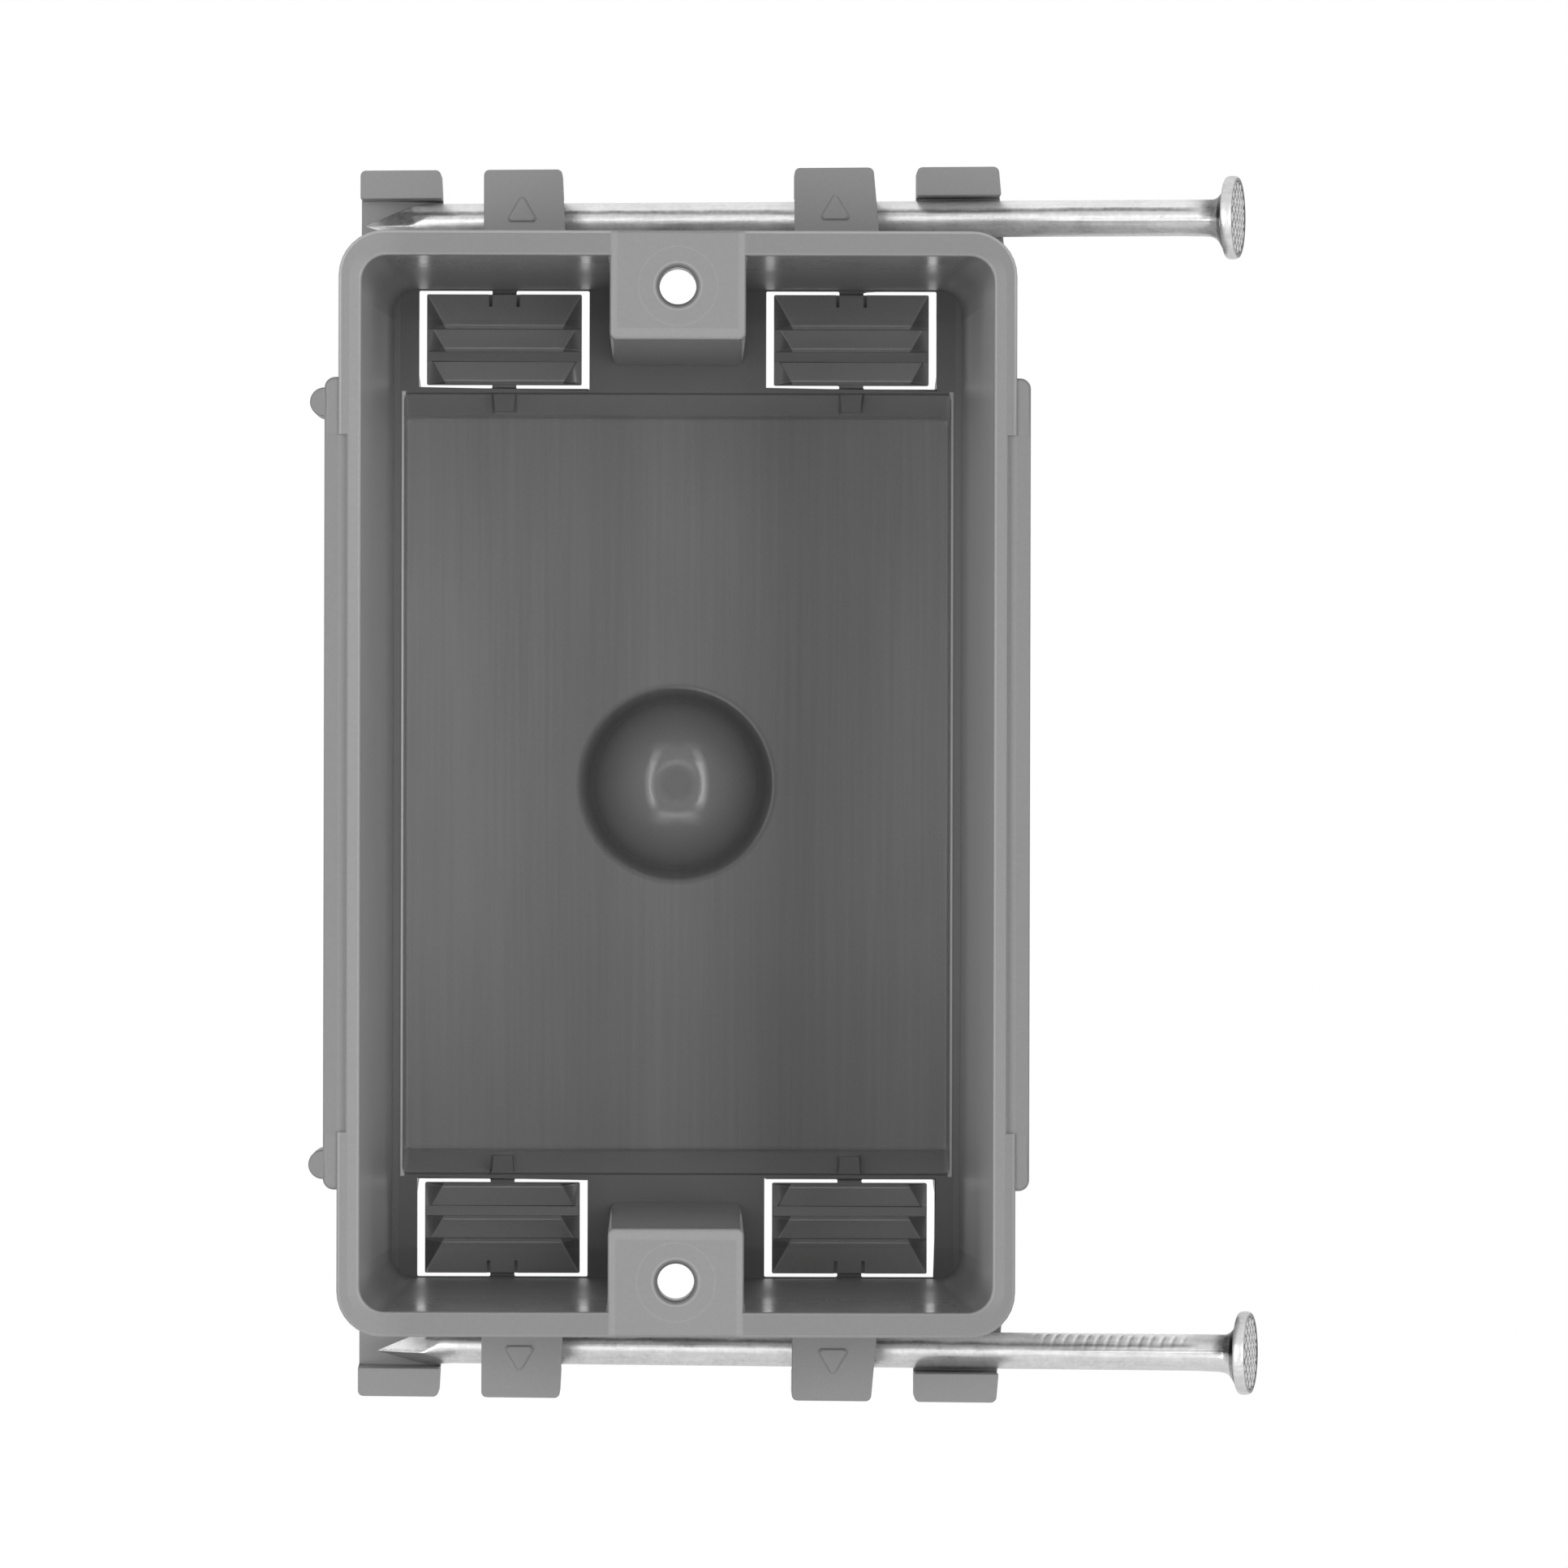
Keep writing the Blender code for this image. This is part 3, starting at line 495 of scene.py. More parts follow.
on_dome = inside * mould.step(from_middle, *DOME_FOOT)
dome_flank_shade = on_dome * mould.step(depth, *DOME_BEFORE_Y) * mould.step(from_middle, *DOME_SHADE)
from_curve = off_centre + CURVE_BEND * height * height - CURVE_X
dome_curve_reflections = (on_dome * stripe(from_curve, *CURVE_LINE)
               * mould.step(height, *CURVE_TOP_Z) * mould.step(height, *CURVE_FOOT_Z))
dome_bar_reflection = on_dome * stripe(height - BAR_Z, *CURVE_LINE) * mould.step(off_centre, *BAR_HALF_X)
dome_spot_shade = on_dome * mould.step(from_middle, *SPOT_RADIUS)
dome_foot_highlight = (on_dome * stripe(from_middle - FOOT_LINE_RADIUS, *FOOT_LINE)
             * mould.step(across + FOOT_LINE_SLANT * height, *FOOT_LINE_SIDE))
print("with the dome:", len(mould.nodes), "nodes so far")

# %% [markdown]
# The tone is the plastic's own grey times a sum: 1, plus each mask times how much paler or darker that
# place is. Masks overlap, so the amounts add up: a wall has the tone of the inside and its own. Patterns
# come on top: a little mottle and speckle, and on the floor upright strokes with smudges. The roughness is
# worked out in the same way, from the value that each place has.
#
# The amounts weren't measured on a real box. The same fit gave one tone factor for each of seven regions,
# from the photograph's brightness at those spots, and the tones of the walls, the shoulder and the tub's
# slope started from it. The others were set one by one until the render came near the photograph, part by
# part. So the tones hold some of its light and shade as well as the plastic's own. How much of each isn't
# known. Under other lamps that share stays as it is here, which a real box's wouldn't.

# %% Tone and polish of the plastic
PLASTIC = 0.222
FRONT_ROUGHNESS = 0.44
INSIDE_ROUGHNESS = 0.20
INSIDE_SMOOTHING = 0.85
STROKE_DEPTH = 0.7

tones = [
    (on_boss, 0.16),
    # painted highlights and shade on the front's edges and holes, painted light on the ears and left rim
    (boss_edge_highlight, 0.14),
    (on_ears, 0.12),
    (hole_edge_highlight, 0.28),
    (hole_shade, -0.28),
    (sleeve_circle_highlight, 0.12),
    (inner_edge_highlight, 0.30),
    (inner_strip, 0.12),
    (left_rim_painted_light, 0.16),
    (outer_edge_highlight, 0.30),
    (upper_edge_highlight, 0.60),
    # painted light and shade in the hollow, with painted highlights on the tub's edges
    (inside, 0.43),
    (on_walls, 0.50),
    (in_corner, -0.35),
    (back_of_wall_shade, -0.28),
    (on_slope, 0.55),
    (tub_edge_highlight, 3.0),
    (right_tub_edge_highlight, -1.0),
    (on_shoulder, -0.60),
    (tab_painted_shade, -0.85),
    (on_flap, -0.75),
    (ramps_painted_light, 1.48),
    (ramp_end, 0.22),
    # painted shade and light on the tub's floor, painted shade, reflections and highlights on the dome
    (on_floor, -0.26),
    (floor_left_painted_light, 0.55),
    (floor_right_painted_light, 0.36),
    (dome_flank_shade, -0.42),
    (dome_curve_reflections, 0.78),
    (dome_bar_reflection, 0.08),
    (dome_spot_shade, -0.30),
    (dome_foot_highlight, 0.80),
]
polish = [
    (on_floor, 0.36),
    (on_walls, 0.34),
    (in_corner, 0.34),
    (on_shoulder, 0.42),
    (on_dome, 0.15),
    (back_of_end, 0.38),
]
mottle = mould.noise(place, (90, 90, 60), detail=3.0)
speckle = mould.noise(place, (3200, 3200, 3200), detail=1.0)
strokes = mould.noise(place, (2600, 300, 45), detail=3.0, roughness=0.6) * on_floor
smudges = mould.noise(place, (110, 60, 38)) * on_floor
grain = mould.noise(place, (1900, 1900, 1900), detail=3.0, roughness=0.6) * (1 - INSIDE_SMOOTHING * inside)

tint = add_up(1, [(mottle, 0.05), (speckle, 0.10), (strokes, 0.28), (smudges, 0.30)])
colour = PLASTIC * tint * add_up(1, tones)
roughness = FRONT_ROUGHNESS + (INSIDE_ROUGHNESS - FRONT_ROUGHNESS) * inside
roughness = add_up(roughness, [(mask, value - INSIDE_ROUGHNESS) for mask, value in polish])
roughness = add_up(roughness, [(mottle, 0.12), (speckle, 0.05)])
relief = mould.node("Bump", inputs={
    "Strength": 0.35, "Distance": 0.02 * MM, "Height": grain + STROKE_DEPTH * strokes}, out="Normal")
surface = mould.node("BsdfPrincipled", inputs={
    "Base Color": mould.grey(colour), "Roughness": roughness, "Normal": relief, "IOR": 1.5})
mould.node("OutputMaterial", inputs={"Surface": surface})
print("plastic:", len(tones), "tones,", len(mould.nodes), "nodes")

# %% [markdown]
# The nails are steel wire with a bright zinc coat. Drawing the wire through its die leaves fine lines along
# it, and the coat is patchy: brighter and duller strips run side by side. The pattern is therefore noise
# drawn out along the wire. The nails slant by 12.2 degrees, so the coordinates are turned by that angle
# first. Both nails share the material, so its measures start from each nail's own middle line and from the
# face of its own head.

# %% Where a point of a nail lies
NAIL_TILT = math.radians(12.2)
NAIL_Z = 48.15 * MM
NAIL_RADIUS = 1.55
HEAD_RADIUS = 3.55
HEAD_THICKNESS = 1.1
HEAD_REACH = 0.9 * HEAD_RADIUS * MM


def head_of(node):
    """Middle of a nail's head in the CAD: back from its right front corner along the slanting face."""
    low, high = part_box(node)
    return np.array([high[0] - HEAD_REACH * math.sin(NAIL_TILT), low[1] + HEAD_REACH * math.cos(NAIL_TILT),
                     (low[2] + high[2]) / 2])


along_row = np.array([math.cos(NAIL_TILT), -math.sin(NAIL_TILT), 0.0])
across_row = np.array([math.sin(NAIL_TILT), math.cos(NAIL_TILT), 0.0])
up_row = np.array([0.0, 0.0, 1.0])
upper_face, lower_face = (float(head_of(node) @ along_row) for node in ("upper_nail", "lower_nail"))
AXIS_ACROSS = float(head_of("upper_nail") @ across_row)

zinc = bpy.data.materials.new("zinc_steel_with_painted_light")
coat = Tree(zinc)
nail_place = coat.node("TexCoord", out="Object")
nail_x, _, level = coat.split(nail_place)
along_wire = coat.node("Mapping", {"vector_type": "POINT"},
                       {"Vector": nail_place, "Rotation": (0.0, 0.0, NAIL_TILT)})
along_nail, across_nail, _ = coat.split(along_wire)
above_or_below = coat.math("SIGN", level)
above = (abs(level) - NAIL_Z) * above_or_below
up_wire = above * (1 / (NAIL_RADIUS * MM))
aside = across_nail - AXIS_ACROSS
from_axis = coat.length(aside, above)
before_face = (upper_face + lower_face) / 2 - along_nail + above_or_below * ((upper_face - lower_face) / 2)
print("heads end at", round(upper_face / MM, 2), "and", round(lower_face / MM, 2), "mm along the wire")

# %% [markdown]
# The marks that follow are painted light and shade on the coat. A dark band along the upper side of the
# wire is a painted reflection, with a painted highlight above it, a brighter strip. The criss-cross on the
# head's face, the ring round it, the line under the head and the upper side of the neck are painted shade.
# The point has cut facets, painted as light and shade would fall on them: on the upper nail the one above
# the crease is dark and the one below it bright, and on the lower nail the one above it is bright. Each of
# these is a mask, and they add up as those of the plastic do. Heights on the wire are shares of its radius.

# %% Marks on the zinc coat
WAFFLE_PITCH = 0.92
WAFFLE_RADIUS = 3.15
WAFFLE_LINE = (0.2, 0.06)
WAFFLE_EDGE = (WAFFLE_RADIUS * MM, (WAFFLE_RADIUS - 0.1) * MM)
FACE_SKIN = (0.4 * MM, 0.3 * MM)
RING_RADIUS = 3.22 * MM
RING_LINE = (0.26 * MM, 0.1 * MM)
RING_SKIN = (0.5 * MM, 0.4 * MM)
UNDER_HEAD = 1.3 * MM
UNDER_HEAD_LINE = (0.35 * MM, 0.2 * MM)
NECK_START = (3.4 * MM, 2.3 * MM)
NECK_END = (1.1 * MM, 1.3 * MM)
NECK_SIDE = (-0.2, 0.1)
POINT_START = (71.3 * MM, 71.9 * MM)
POINT_RAGGED = 2.4 * MM
CREASE = (-0.32, -0.2)
CREASE_RAGGED = 0.15
WIRE_END_X = (74.0 * MM, 72.5 * MM)
DARK_BAND_LINE = 0.41
DARK_BAND_HALF = (0.17, 0.02)
UPPER_HIGHLIGHT_STRIP = (0.5, 0.62)

strips = coat.noise(along_wire, (60, 900, 900))
lines = coat.noise(along_wire, (150, 6000, 6000), roughness=0.6)
patches = coat.noise(along_wire, (420, 700, 700), detail=3.0, roughness=0.6)
pits = coat.noise(along_wire, (2500, 2500, 2500))

waves = 1 / (math.sqrt(2) * WAFFLE_PITCH * MM)
one_way = abs(coat.math("FRACT", (aside + above) * waves) - 0.5)
other_way = abs(coat.math("FRACT", (aside - above) * waves) - 0.5)
waffle_groove_shade = (coat.step(coat.math("MINIMUM", one_way, other_way), *WAFFLE_LINE)
           * coat.step(before_face, *FACE_SKIN) * coat.step(from_axis, *WAFFLE_EDGE))
face_ring_shade = coat.step(abs(from_axis - RING_RADIUS), *RING_LINE) * coat.step(before_face, *RING_SKIN)
under_head_shade = coat.step(abs(before_face - UNDER_HEAD), *UNDER_HEAD_LINE)
neck_hollow_shade = (coat.step(before_face, *NECK_START) * coat.step(before_face, *NECK_END)
               * coat.step(up_wire, *NECK_SIDE))

on_point = coat.step(before_face + POINT_RAGGED * patches, *POINT_START)
on_upper_nail = coat.step(level, 0.0, NAIL_Z)
above_crease = coat.step(up_wire + CREASE_RAGGED * pits, *CREASE)
facet_painted_shade = on_point * on_upper_nail * above_crease
facet_painted_highlight = on_point * (on_upper_nail + above_crease - 2 * on_upper_nail * above_crease)

on_wire = coat.step(nail_x, *WIRE_END_X)
from_dark_band = add_up(up_wire - DARK_BAND_LINE, [(strips, 0.35), (patches, 0.2)])
dark_band_reflection = on_wire * (1 - on_point) * coat.step(abs(from_dark_band), *DARK_BAND_HALF)
upper_highlight_strip = on_wire * coat.step(up_wire, *UPPER_HIGHLIGHT_STRIP)
print("zinc masks:", len(coat.nodes), "nodes so far")

# %% Zinc-coated steel
ZINC = 0.66
ZINC_METAL = 0.6
ZINC_ROUGHNESS = 0.32

shine = ZINC * add_up(1, [
    (strips, 0.35),
    (lines, 0.3),
    (patches, 0.4),
    (pits, 0.35),
    # painted reflection and highlight along the wire, painted shade and highlights on the head, neck and
    # point
    (dark_band_reflection, -0.5),
    (upper_highlight_strip, 0.34),
    (waffle_groove_shade, -0.85),
    (neck_hollow_shade, -0.7),
    (face_ring_shade, -0.8),
    (under_head_shade, -0.6),
    (facet_painted_shade, -0.5),
    (facet_painted_highlight, 0.4),
])
dullness = add_up(ZINC_ROUGHNESS, [(patches, 0.30), (strips, 0.20)])
scratches = 0.6 * lines + 0.5 * patches + 0.3 * pits
scratch = coat.node("Bump", inputs={
    "Strength": 0.5, "Distance": 0.03 * MM, "Height": scratches}, out="Normal")
metal = coat.node("BsdfPrincipled", inputs={
    "Base Color": coat.grey(shine), "Roughness": dullness, "Normal": scratch, "Metallic": ZINC_METAL})
coat.node("OutputMaterial", inputs={"Surface": metal})
print("zinc:", len(coat.nodes), "nodes")

# %% [markdown]
# The box itself keeps the CAD's shape. What the CAD leaves sharp, a real moulding rounds a little, and
# those fine edges catch the light. The piece is a copy of the CAD mesh with its doubled corners merged and
# its flat triangles joined into whole faces. A Bevel modifier then rounds each edge that has room for it
# between two broad faces, and its result is kept as the mesh.

# %% Body of the box
MERGE = 0.002 * MM
FLAT = math.radians(0.6)
ROUND_FROM = math.radians(20)
EDGE_ROUND = 0.13 * MM
ROUND_STEPS = 3
SHORTEST_ROUNDED = 0.45 * MM
LEAST_ROOM = 0.32 * MM
PLENTY = 1.0


def gap(point, edge):
    """Distance from a point to an edge."""
    start, end = (corner.co for corner in edge.verts)
    share = intersect_point_line(point, start, end)[1]
    return (point - start.lerp(end, min(max(share, 0.0), 1.0))).length


def room(edge):
    """The least distance, across its two faces, from an edge to the edges that don't touch it."""
    start, end = (corner.co for corner in edge.verts)
    least = PLENTY
    for face in edge.link_faces:
        for other in face.edges:
            if not set(other.verts) & set(edge.verts):
                pairs = [(start, other), ((start + end) / 2, other), (end, other)]
                pairs += [(corner.co, edge) for corner in other.verts]
                least = min(least, *(gap(point, side) for point, side in pairs))
    return least


def whole_faces(node, name):
    """A copy of a CAD node's mesh in whole faces, with a bevel weight on each edge to be rounded."""
    shape = bmesh.new()
    shape.from_mesh(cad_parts[node].data)
    bmesh.ops.remove_doubles(shape, verts=shape.verts, dist=MERGE)
    bmesh.ops.dissolve_limit(shape, angle_limit=FLAT, verts=shape.verts[:], edges=shape.edges[:])
    weight = shape.edges.layers.float.new("bevel_weight_edge")
    rounded = 0
    for edge in shape.edges:
        sharp = edge.calc_face_angle(0.0) > ROUND_FROM and edge.calc_length() > SHORTEST_ROUNDED
        if sharp and room(edge) > LEAST_ROOM:
            edge[weight] = 1.0
            rounded += 1
    mesh = bpy.data.meshes.new(name)
    shape.to_mesh(mesh)
    shape.free()
    print(name, len(mesh.polygons), "whole faces,", rounded, "edges to round")
    return bpy.data.objects.new(name, mesh)


body = whole_faces("box_body", "moulded_box")
bpy.context.scene.collection.objects.link(body)
rounding = body.modifiers.new("rounded_edges", "BEVEL")
rounding.limit_method = "WEIGHT"
rounding.width = EDGE_ROUND
rounding.segments = ROUND_STEPS
rounding.use_clamp_overlap = False
rounded_body = body.evaluated_get(bpy.context.evaluated_depsgraph_get())
kept = bpy.data.meshes.new_from_object(rounded_body)
body.modifiers.clear()
body.data = kept
print("rounded:", len(kept.polygons), "faces")

# %% [markdown]
# Smooth shading alone would bend the light over the whole of a flat wall, because a corner's normal is
# shared by the wall and the narrow rounding beside it. So each corner gets its own normal: the faces round
# that point that turn only a little from this one are added up, each times the square of its area. A broad
# flat then keeps its own direction and the narrow strips bend to meet it. Two broad faces blend only where
# they turn very little, as the facets of a curve do, so the ridges of the flaps stay crisp.

# %% Normals that keep flats flat
STRIP_REACH = math.radians(46)
BROAD_REACH = math.radians(14)
STRIP_WIDTH = 0.4 * MM


def values_of(items, name, kind, width=1):
    """One property of all the points, edges, corners or faces of a mesh, as an array."""
    values = np.empty((len(items), width), dtype=kind)
    items.foreach_get(name, values.ravel())
    return values if width > 1 else values[:, 0]


def flat_keeping_normals(mesh):
    """Corner normal = sum over the faces at its point, within reach of its face, of area squared x normal.

    A face is a strip if twice its area over its girth, which is about its width, is under STRIP_WIDTH.
    Where the sum is 0, as on a face without area, it stays 0, and there Blender keeps its own normal.
    """
    point = values_of(mesh.loops, "vertex_index", np.int32)
    normal = values_of(mesh.polygons, "normal", np.float32, 3)
    area = values_of(mesh.polygons, "area", np.float32).astype(np.float64)
    face = np.repeat(np.arange(len(mesh.polygons)), values_of(mesh.polygons, "loop_total", np.int32))
    ends = values_of(mesh.vertices, "co", np.float32, 3)[values_of(mesh.edges, "vertices", np.int32, 2)]
    length = np.linalg.norm(ends[:, 0] - ends[:, 1], axis=1)
    girth = np.bincount(face, weights=length[values_of(mesh.loops, "edge_index", np.int32)])
    order = np.argsort(point, kind="stable")
    sorted_point = point[order]
    own = normal[face[order]]
    pull = (area[face[order]] / MM ** 2) ** 2
    strip = (2 * area / girth < STRIP_WIDTH)[face[order]]
    total = own * pull[:, None]
    for shift in range(1, np.bincount(point).max()):
        later, earlier = slice(shift, None), slice(None, -shift)
        for here, there in ((later, earlier), (earlier, later)):
            same = sorted_point[here] == sorted_point[there]
            reach = np.where(strip[here] | strip[there], math.cos(STRIP_REACH), math.cos(BROAD_REACH))
            near = (own[here] * own[there]).sum(axis=1) > reach
            total[here] += np.where(same & near, pull[there], 0.0)[:, None] * own[there]
    size = np.linalg.norm(total, axis=1)[:, None]
    result = np.zeros_like(total)
    result[order] = np.divide(total, size, out=np.zeros_like(total), where=size > 0)
    mesh.shade_smooth()
    mesh.normals_split_custom_set(result.tolist())


def dress(piece, finish, node):
    """Give a finished piece its material and its body, and hide the CAD node that it stands for."""
    piece.data.materials.clear()
    piece.data.materials.append(finish)
    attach(piece, "root")
    if node:
        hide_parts(node)
    print(piece.name, len(piece.data.polygons), "faces")


flat_keeping_normals(body.data)
dress(body, plastic, "box_body")

# %% [markdown]
# A nail is a profile carried round a straight line. It could be turned on a Screw modifier, but its point
# and its marks are not round. So each row of a grid is one place along the profile, each column one
# direction round it, and the radius is a function of both. Four flat cuts make the diamond point, small
# grooves near the head are the marks of the gripping dies, and the profile turns outwards into the head
# and then back in to the middle of its face, where a criss-cross of shallow grooves is pressed.

# %% Surfaces from grids of points
def closed_tube(points):
    """Vertices and faces of a closed surface from a grid of points, rows along and columns around.

    Each end is closed by triangles that meet in the mean of its row.
    """
    rows, columns = points.shape[:2]
    middles = np.stack([points[0].mean(axis=0), points[-1].mean(axis=0)])
    row, column = np.meshgrid(np.arange(rows - 1), np.arange(columns), indexing="ij")
    after = (column + 1) % columns
    quads = np.stack([row * columns + column, row * columns + after,
                      (row + 1) * columns + after, (row + 1) * columns + column], axis=-1)
    turn = np.arange(columns)
    first, last = rows * columns, rows * columns + 1
    start = np.stack([np.full(columns, first), (turn + 1) % columns, turn], axis=-1)
    rear = (rows - 1) * columns
    end = np.stack([np.full(columns, last), rear + turn, rear + (turn + 1) % columns], axis=-1)
    vertices = np.concatenate([points.reshape(-1, 3), middles])
    return vertices, quads.reshape(-1, 4).tolist() + start.tolist() + end.tolist()


def piece_of(name, parts):
    """One object from several (vertices, faces) parts, with its faces turned outwards."""
    shape = bmesh.new()
    for vertices, faces in parts:
        corners = [shape.verts.new(corner) for corner in vertices.tolist()]
        for face in faces:
            shape.faces.new([corners[index] for index in face])
    bmesh.ops.recalc_face_normals(shape, faces=shape.faces[:])
    mesh = bpy.data.meshes.new(name)
    shape.to_mesh(mesh)
    shape.free()
    mesh.shade_smooth()
    piece = bpy.data.objects.new(name, mesh)
    bpy.context.scene.collection.objects.link(piece)
    return piece


print("a grid of 4 rows and 6 columns makes", len(closed_tube(np.zeros((4, 6, 3)))[1]), "faces")

# %% Profile of a nail
NAIL_LENGTH = 76.2
UNDER_HEAD_AT = NAIL_LENGTH - HEAD_THICKNESS
TIP_START = 0.12
POINT_LENGTH = 6.0
POINT_END = 9.6
GRIP_START, GRIP_END = 57.0, 71.5
GRIP_PITCH = 0.93
ROWS_TO_A_GRIP = 8
NECK_LENGTH = 1.25
NECK_RADIUS = 2.7
NECK_CURVE = 2.2
SHAFT_END = UNDER_HEAD_AT - 1.3 * NECK_LENGTH
HEAD_EDGE = 0.28
HEAD_EDGE_CURVE = 0.7
EDGE_SHARE = 0.94
FACE_OUTER, FACE_INNER = HEAD_RADIUS - HEAD_EDGE - 0.02, 0.04
POINT_ROWS, SHAFT_ROWS, NECK_ROWS, EDGE_ROWS, FACE_ROWS = 44, 24, 14, 15, 44


def nail_profile():
    """Rows as (distance from the tip, radius), from the tip to the middle of the head's face.

    Neck: the radius grows with a power of the share of its length. Edge of the head: the distance
    follows the sine of an angle from -90 to 90 degrees, and the radius a power of its cosine.
    """
    point = np.linspace(TIP_START, POINT_END, POINT_ROWS)
    shaft = np.linspace(POINT_END, GRIP_START, SHAFT_ROWS)[1:]
    grip = np.arange(GRIP_START, GRIP_END, GRIP_PITCH / ROWS_TO_A_GRIP)[1:]
    plain = np.concatenate([point, shaft, grip, [SHAFT_END]])
    neck = np.linspace(0.0, 1.0, NECK_ROWS)
    neck_along = UNDER_HEAD_AT - NECK_LENGTH * (1 - neck)
    neck_radius = NAIL_RADIUS + (NECK_RADIUS - NAIL_RADIUS) * neck ** NECK_CURVE
    arc = np.linspace(-np.pi / 2, np.pi / 2, EDGE_ROWS)[1:-1]
    edge_along = UNDER_HEAD_AT + HEAD_THICKNESS / 2 * (1 + EDGE_SHARE * np.sin(arc))
    edge_radius = HEAD_RADIUS - HEAD_EDGE * (1 - np.cos(arc) ** HEAD_EDGE_CURVE)
    face_radius = np.linspace(FACE_OUTER, FACE_INNER, FACE_ROWS)
    along = np.concatenate([plain, neck_along, edge_along, np.full(face_radius.size, NAIL_LENGTH)])
    radius = np.concatenate([np.full(plain.size, NAIL_RADIUS), neck_radius, edge_radius, face_radius])
    return along[:, None], radius[:, None]


print("profile of", len(nail_profile()[0]), "rows")

# %% Nails
NAIL_COLUMNS = 96
GRIP_FADE_IN, GRIP_FADE_OUT = 2.0, 1.5
GRIP_SLANT = 0.35
SEAM_START, SEAM_END = 59.0, UNDER_HEAD_AT - 0.1
SEAM_FADE = 4.0
SEAM_HEIGHT = 0.07
SEAM_HALF_TURN = 0.075
SPILL = 0.42
SPILL_START = 2.4
SPILL_FADE = 2.2
SPILL_CURVE = 1.5
WAFFLE_DEPTH = 0.13
GROOVE_SHARE = 0.5
CROWN = 0.12
DROP_LENGTH = 6.6
CAMERA_SIDE = math.pi


def climb(distance, length):
    """0 before distance 0 and 1 after the length, straight between them."""
    return np.clip(distance / length, 0, 1)


def crest(angle, gain, cut):
    """The top of a cosine: the gain times the cosine, less the cut, kept between 0 and 1."""
    return np.clip(gain * np.cos(angle) - cut, 0, 1)


def nail_points(cut_turn, tip_drop, grip_turn, grip_depth, seam_turn, spill_turn):
    """The nail along +x from its tip, as a grid of points in millimetres.

    Diamond point: a square pyramid is the largest of |cos| and |sin| of the direction, so the radius is
    the smaller of the wire's own and (half width at this distance) / that largest value. The point is
    sheared down by tip_drop at its end.
    Grip marks: a groove is the cosine of the distance over its pitch, kept to one side of the wire.
    Seam: a thin fin where the gripping dies met, from SEAM_START to the neck.
    Spill: metal that ran into the neck on one side when the head was struck.
    Head: on the face, the distance along is lowered where either slanting criss-cross line passes.
    """
    along, radius = nail_profile()
    angle = np.linspace(0.0, 2 * np.pi, NAIL_COLUMNS, endpoint=False)[None, :]
    square = np.maximum(np.abs(np.cos(angle - cut_turn)), np.abs(np.sin(angle - cut_turn)))
    cut = NAIL_RADIUS * along / POINT_LENGTH / square
    spread = np.where(along < POINT_END, np.minimum(radius, cut), radius)

    fade = climb(along - GRIP_START, GRIP_FADE_IN) * climb(GRIP_END - along, GRIP_FADE_OUT)
    slanted = along + GRIP_SLANT * np.sin(angle - grip_turn)
    wave = crest(2 * np.pi * slanted / GRIP_PITCH, gain=1.6, cut=0.4)
    facing = crest(angle - grip_turn, gain=1.9, cut=0.9)
    spread = spread - grip_depth * fade * facing * wave

    turned_by = np.abs((angle - seam_turn + np.pi) % (2 * np.pi) - np.pi)
    on_shaft = climb(along - SEAM_START, SEAM_FADE) * (along < SEAM_END)
    spread = spread + SEAM_HEIGHT * on_shaft * np.clip(1 - turned_by / SEAM_HALF_TURN, 0, 1)
    neck = climb(along - UNDER_HEAD_AT + SPILL_START, SPILL_FADE) * (along < UNDER_HEAD_AT)
    spread = spread + SPILL * neck ** SPILL_CURVE * crest(angle - spill_turn, gain=1.0, cut=0.0) ** 2

    across_it, up = spread * np.cos(angle), spread * np.sin(angle)
    up = up - tip_drop * np.clip(1 - along / DROP_LENGTH, 0, 1)
    one = np.abs(((across_it + up) / math.sqrt(2) / WAFFLE_PITCH) % 1 - 0.5) * 2
    other = np.abs(((across_it - up) / math.sqrt(2) / WAFFLE_PITCH) % 1 - 0.5) * 2
    groove = np.clip(1 - np.minimum(one, other) / GROOVE_SHARE, 0, 1)
    on_face = along >= NAIL_LENGTH
    crown = CROWN * (1 - np.clip(spread / HEAD_RADIUS, 0, 1) ** 2)
    sunk = WAFFLE_DEPTH * groove * (on_face & (radius < WAFFLE_RADIUS))
    distance = along + np.where(on_face, crown - CROWN, 0.0) - sunk
    return np.stack([np.broadcast_to(distance, across_it.shape), across_it, up], axis=-1)


def place_nail(node, points):
    """Slant a nail as the CAD's, head towards the camera, and set its head where the CAD's head is."""
    tip = head_of(node) - along_row * NAIL_LENGTH * MM
    print(node, "tip at", np.round(tip / MM, 2))
    return points @ np.stack([along_row, across_row, up_row]) * MM + tip


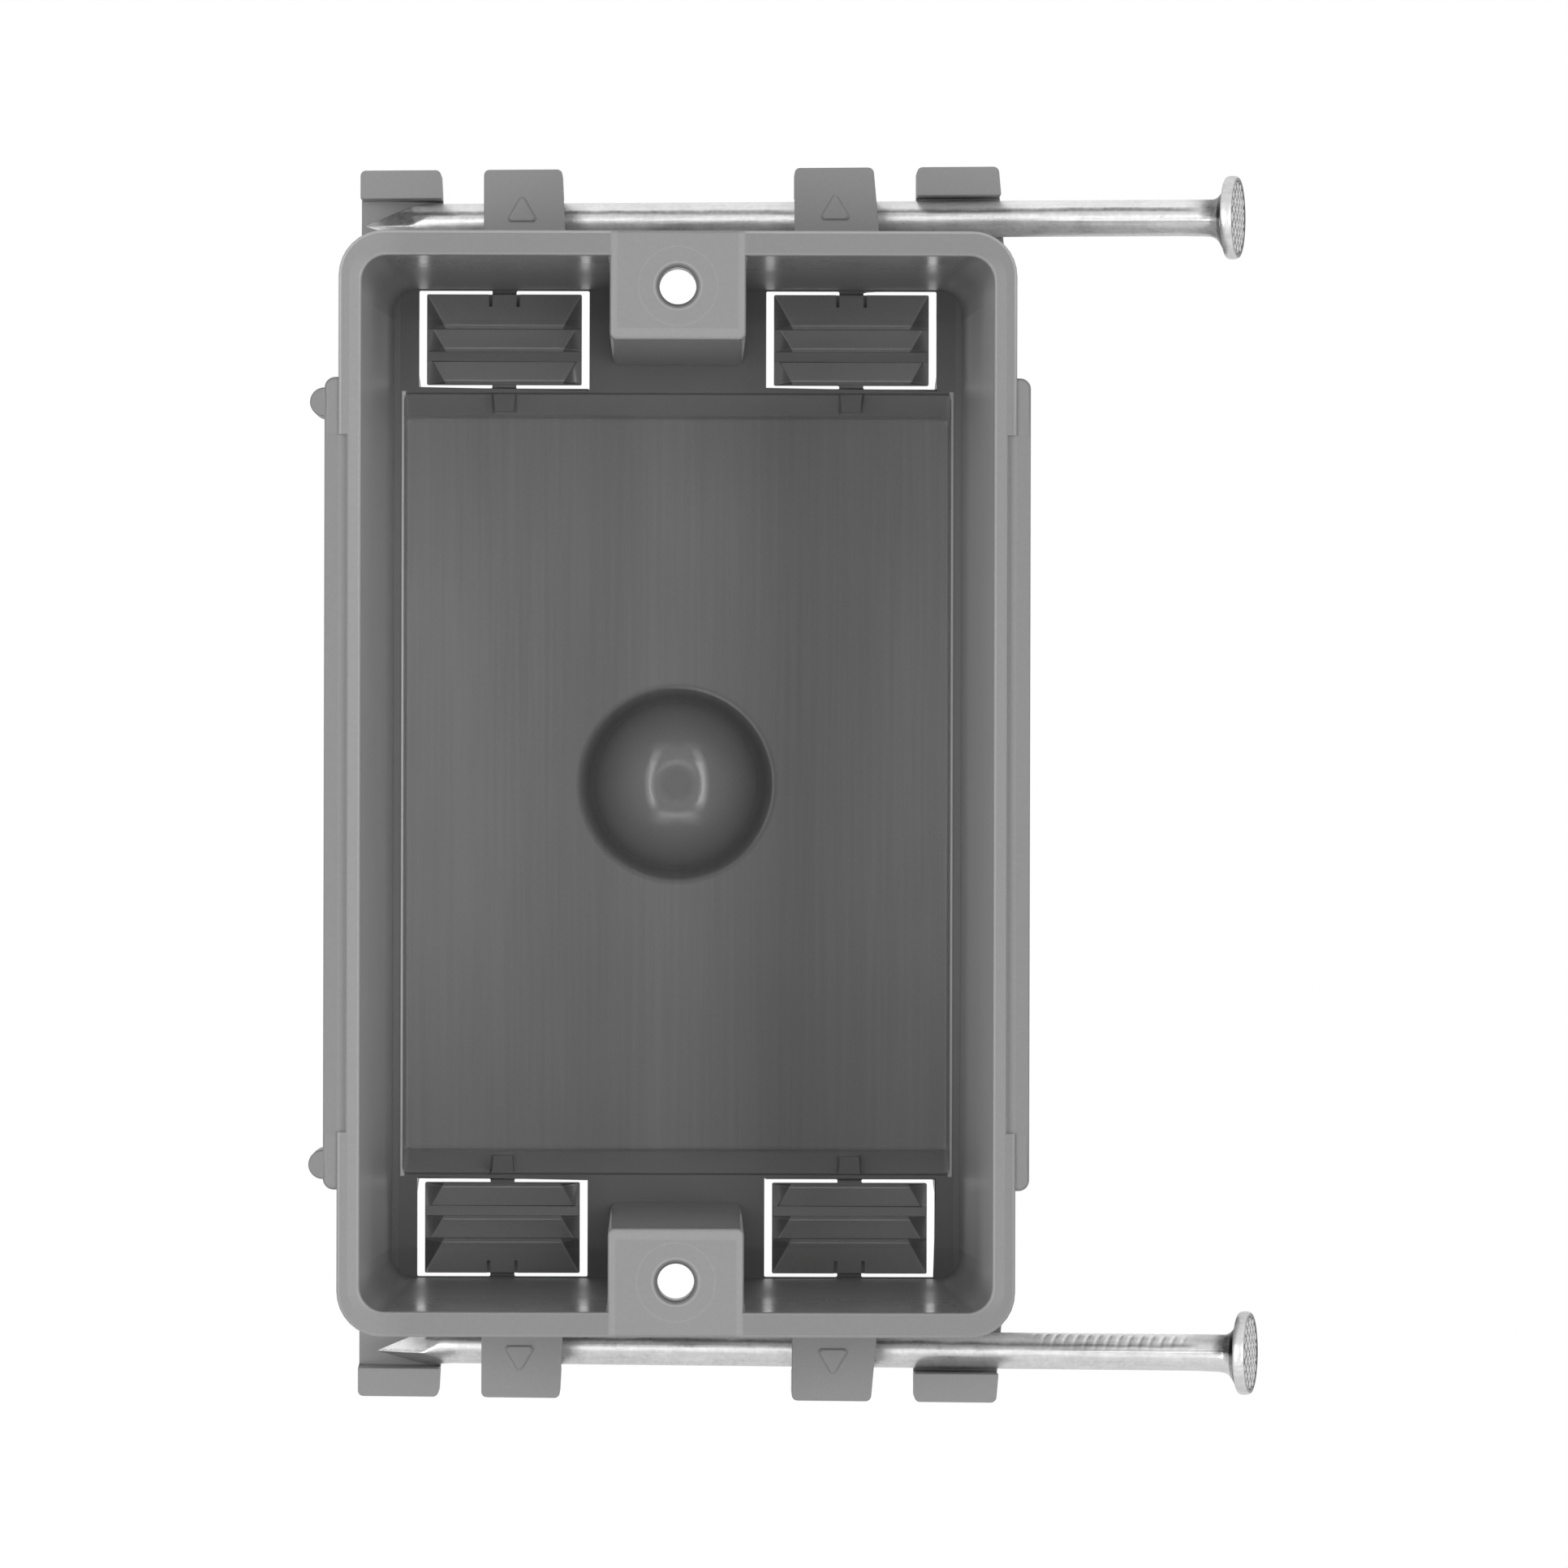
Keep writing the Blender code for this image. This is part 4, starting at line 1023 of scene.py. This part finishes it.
NAILS = {
    "upper_nail": dict(cut_turn=0.96, tip_drop=0.34, grip_turn=math.radians(100), grip_depth=0.02,
                       seam_turn=CAMERA_SIDE + 0.16, spill_turn=CAMERA_SIDE + 0.9),
    "lower_nail": dict(cut_turn=1.1, tip_drop=0.55, grip_turn=math.radians(118), grip_depth=0.04,
                       seam_turn=CAMERA_SIDE - 0.05, spill_turn=CAMERA_SIDE + 1.1),
}
for node, marks in NAILS.items():
    nail = piece_of("zinc_" + node, [closed_tube(place_nail(node, nail_points(**marks)))])
    dress(nail, zinc, node)

# %% [markdown]
# The two middle ears at each end carry a plain raised triangle that points away from the middle of the
# box. It could be drawn as a curve and given a thickness. As a grid of points it is one short formula, and
# its rows can slope in towards the top, as a raised mark must to come out of its mould.

# %% Raised triangles on the middle ears
EAR_X = 13.35
EAR_FACE_DEPTH = 25.1
MARK_Z = 48.8
MARK_RADIUS = 0.72
MARK_ROUND = 1.62
MARK_PROUD = 0.16
MARK_SIZES = (1.16, 1.16, 1.0, 0.88)
MARK_HEIGHTS = (-0.1, 0.0, 0.85, 1.0)
MARK_COLUMNS = 48


def triangle(sign, side):
    """A rounded triangle: radius / cos(angle to the nearest side's middle), with its corners cut round.

    The rows step from a foot sunk in the ear to a slightly smaller top, so the sides slope a little. The
    ear's face slants with the nail, so y follows x by the tangent of the slant.
    """
    angle = np.linspace(0, 2 * np.pi, MARK_COLUMNS, endpoint=False)
    outward = side * math.pi / 2
    third = 2 * np.pi / 3
    from_side = (angle - outward) % third - third / 2
    outline = np.minimum(MARK_RADIUS / np.cos(from_side), MARK_RADIUS * MARK_ROUND)
    size = np.array(MARK_SIZES)[:, None]
    proud = np.array(MARK_HEIGHTS)[:, None] * MARK_PROUD
    x = sign * EAR_X + size * outline * np.cos(angle)
    z = side * MARK_Z + size * outline * np.sin(angle)
    y = EAR_FACE_DEPTH - math.tan(NAIL_TILT) * x - proud
    points = np.stack([x, y, z], axis=-1) * MM + np.array([CENTRE_X, RIM_Y, 0.0])
    return closed_tube(points)


arrows = piece_of("ear_marks", [triangle(sign, side) for sign in (-1, 1) for side in (-1, 1)])
flat_keeping_normals(arrows.data)
dress(arrows, plastic, None)

# %% [markdown]
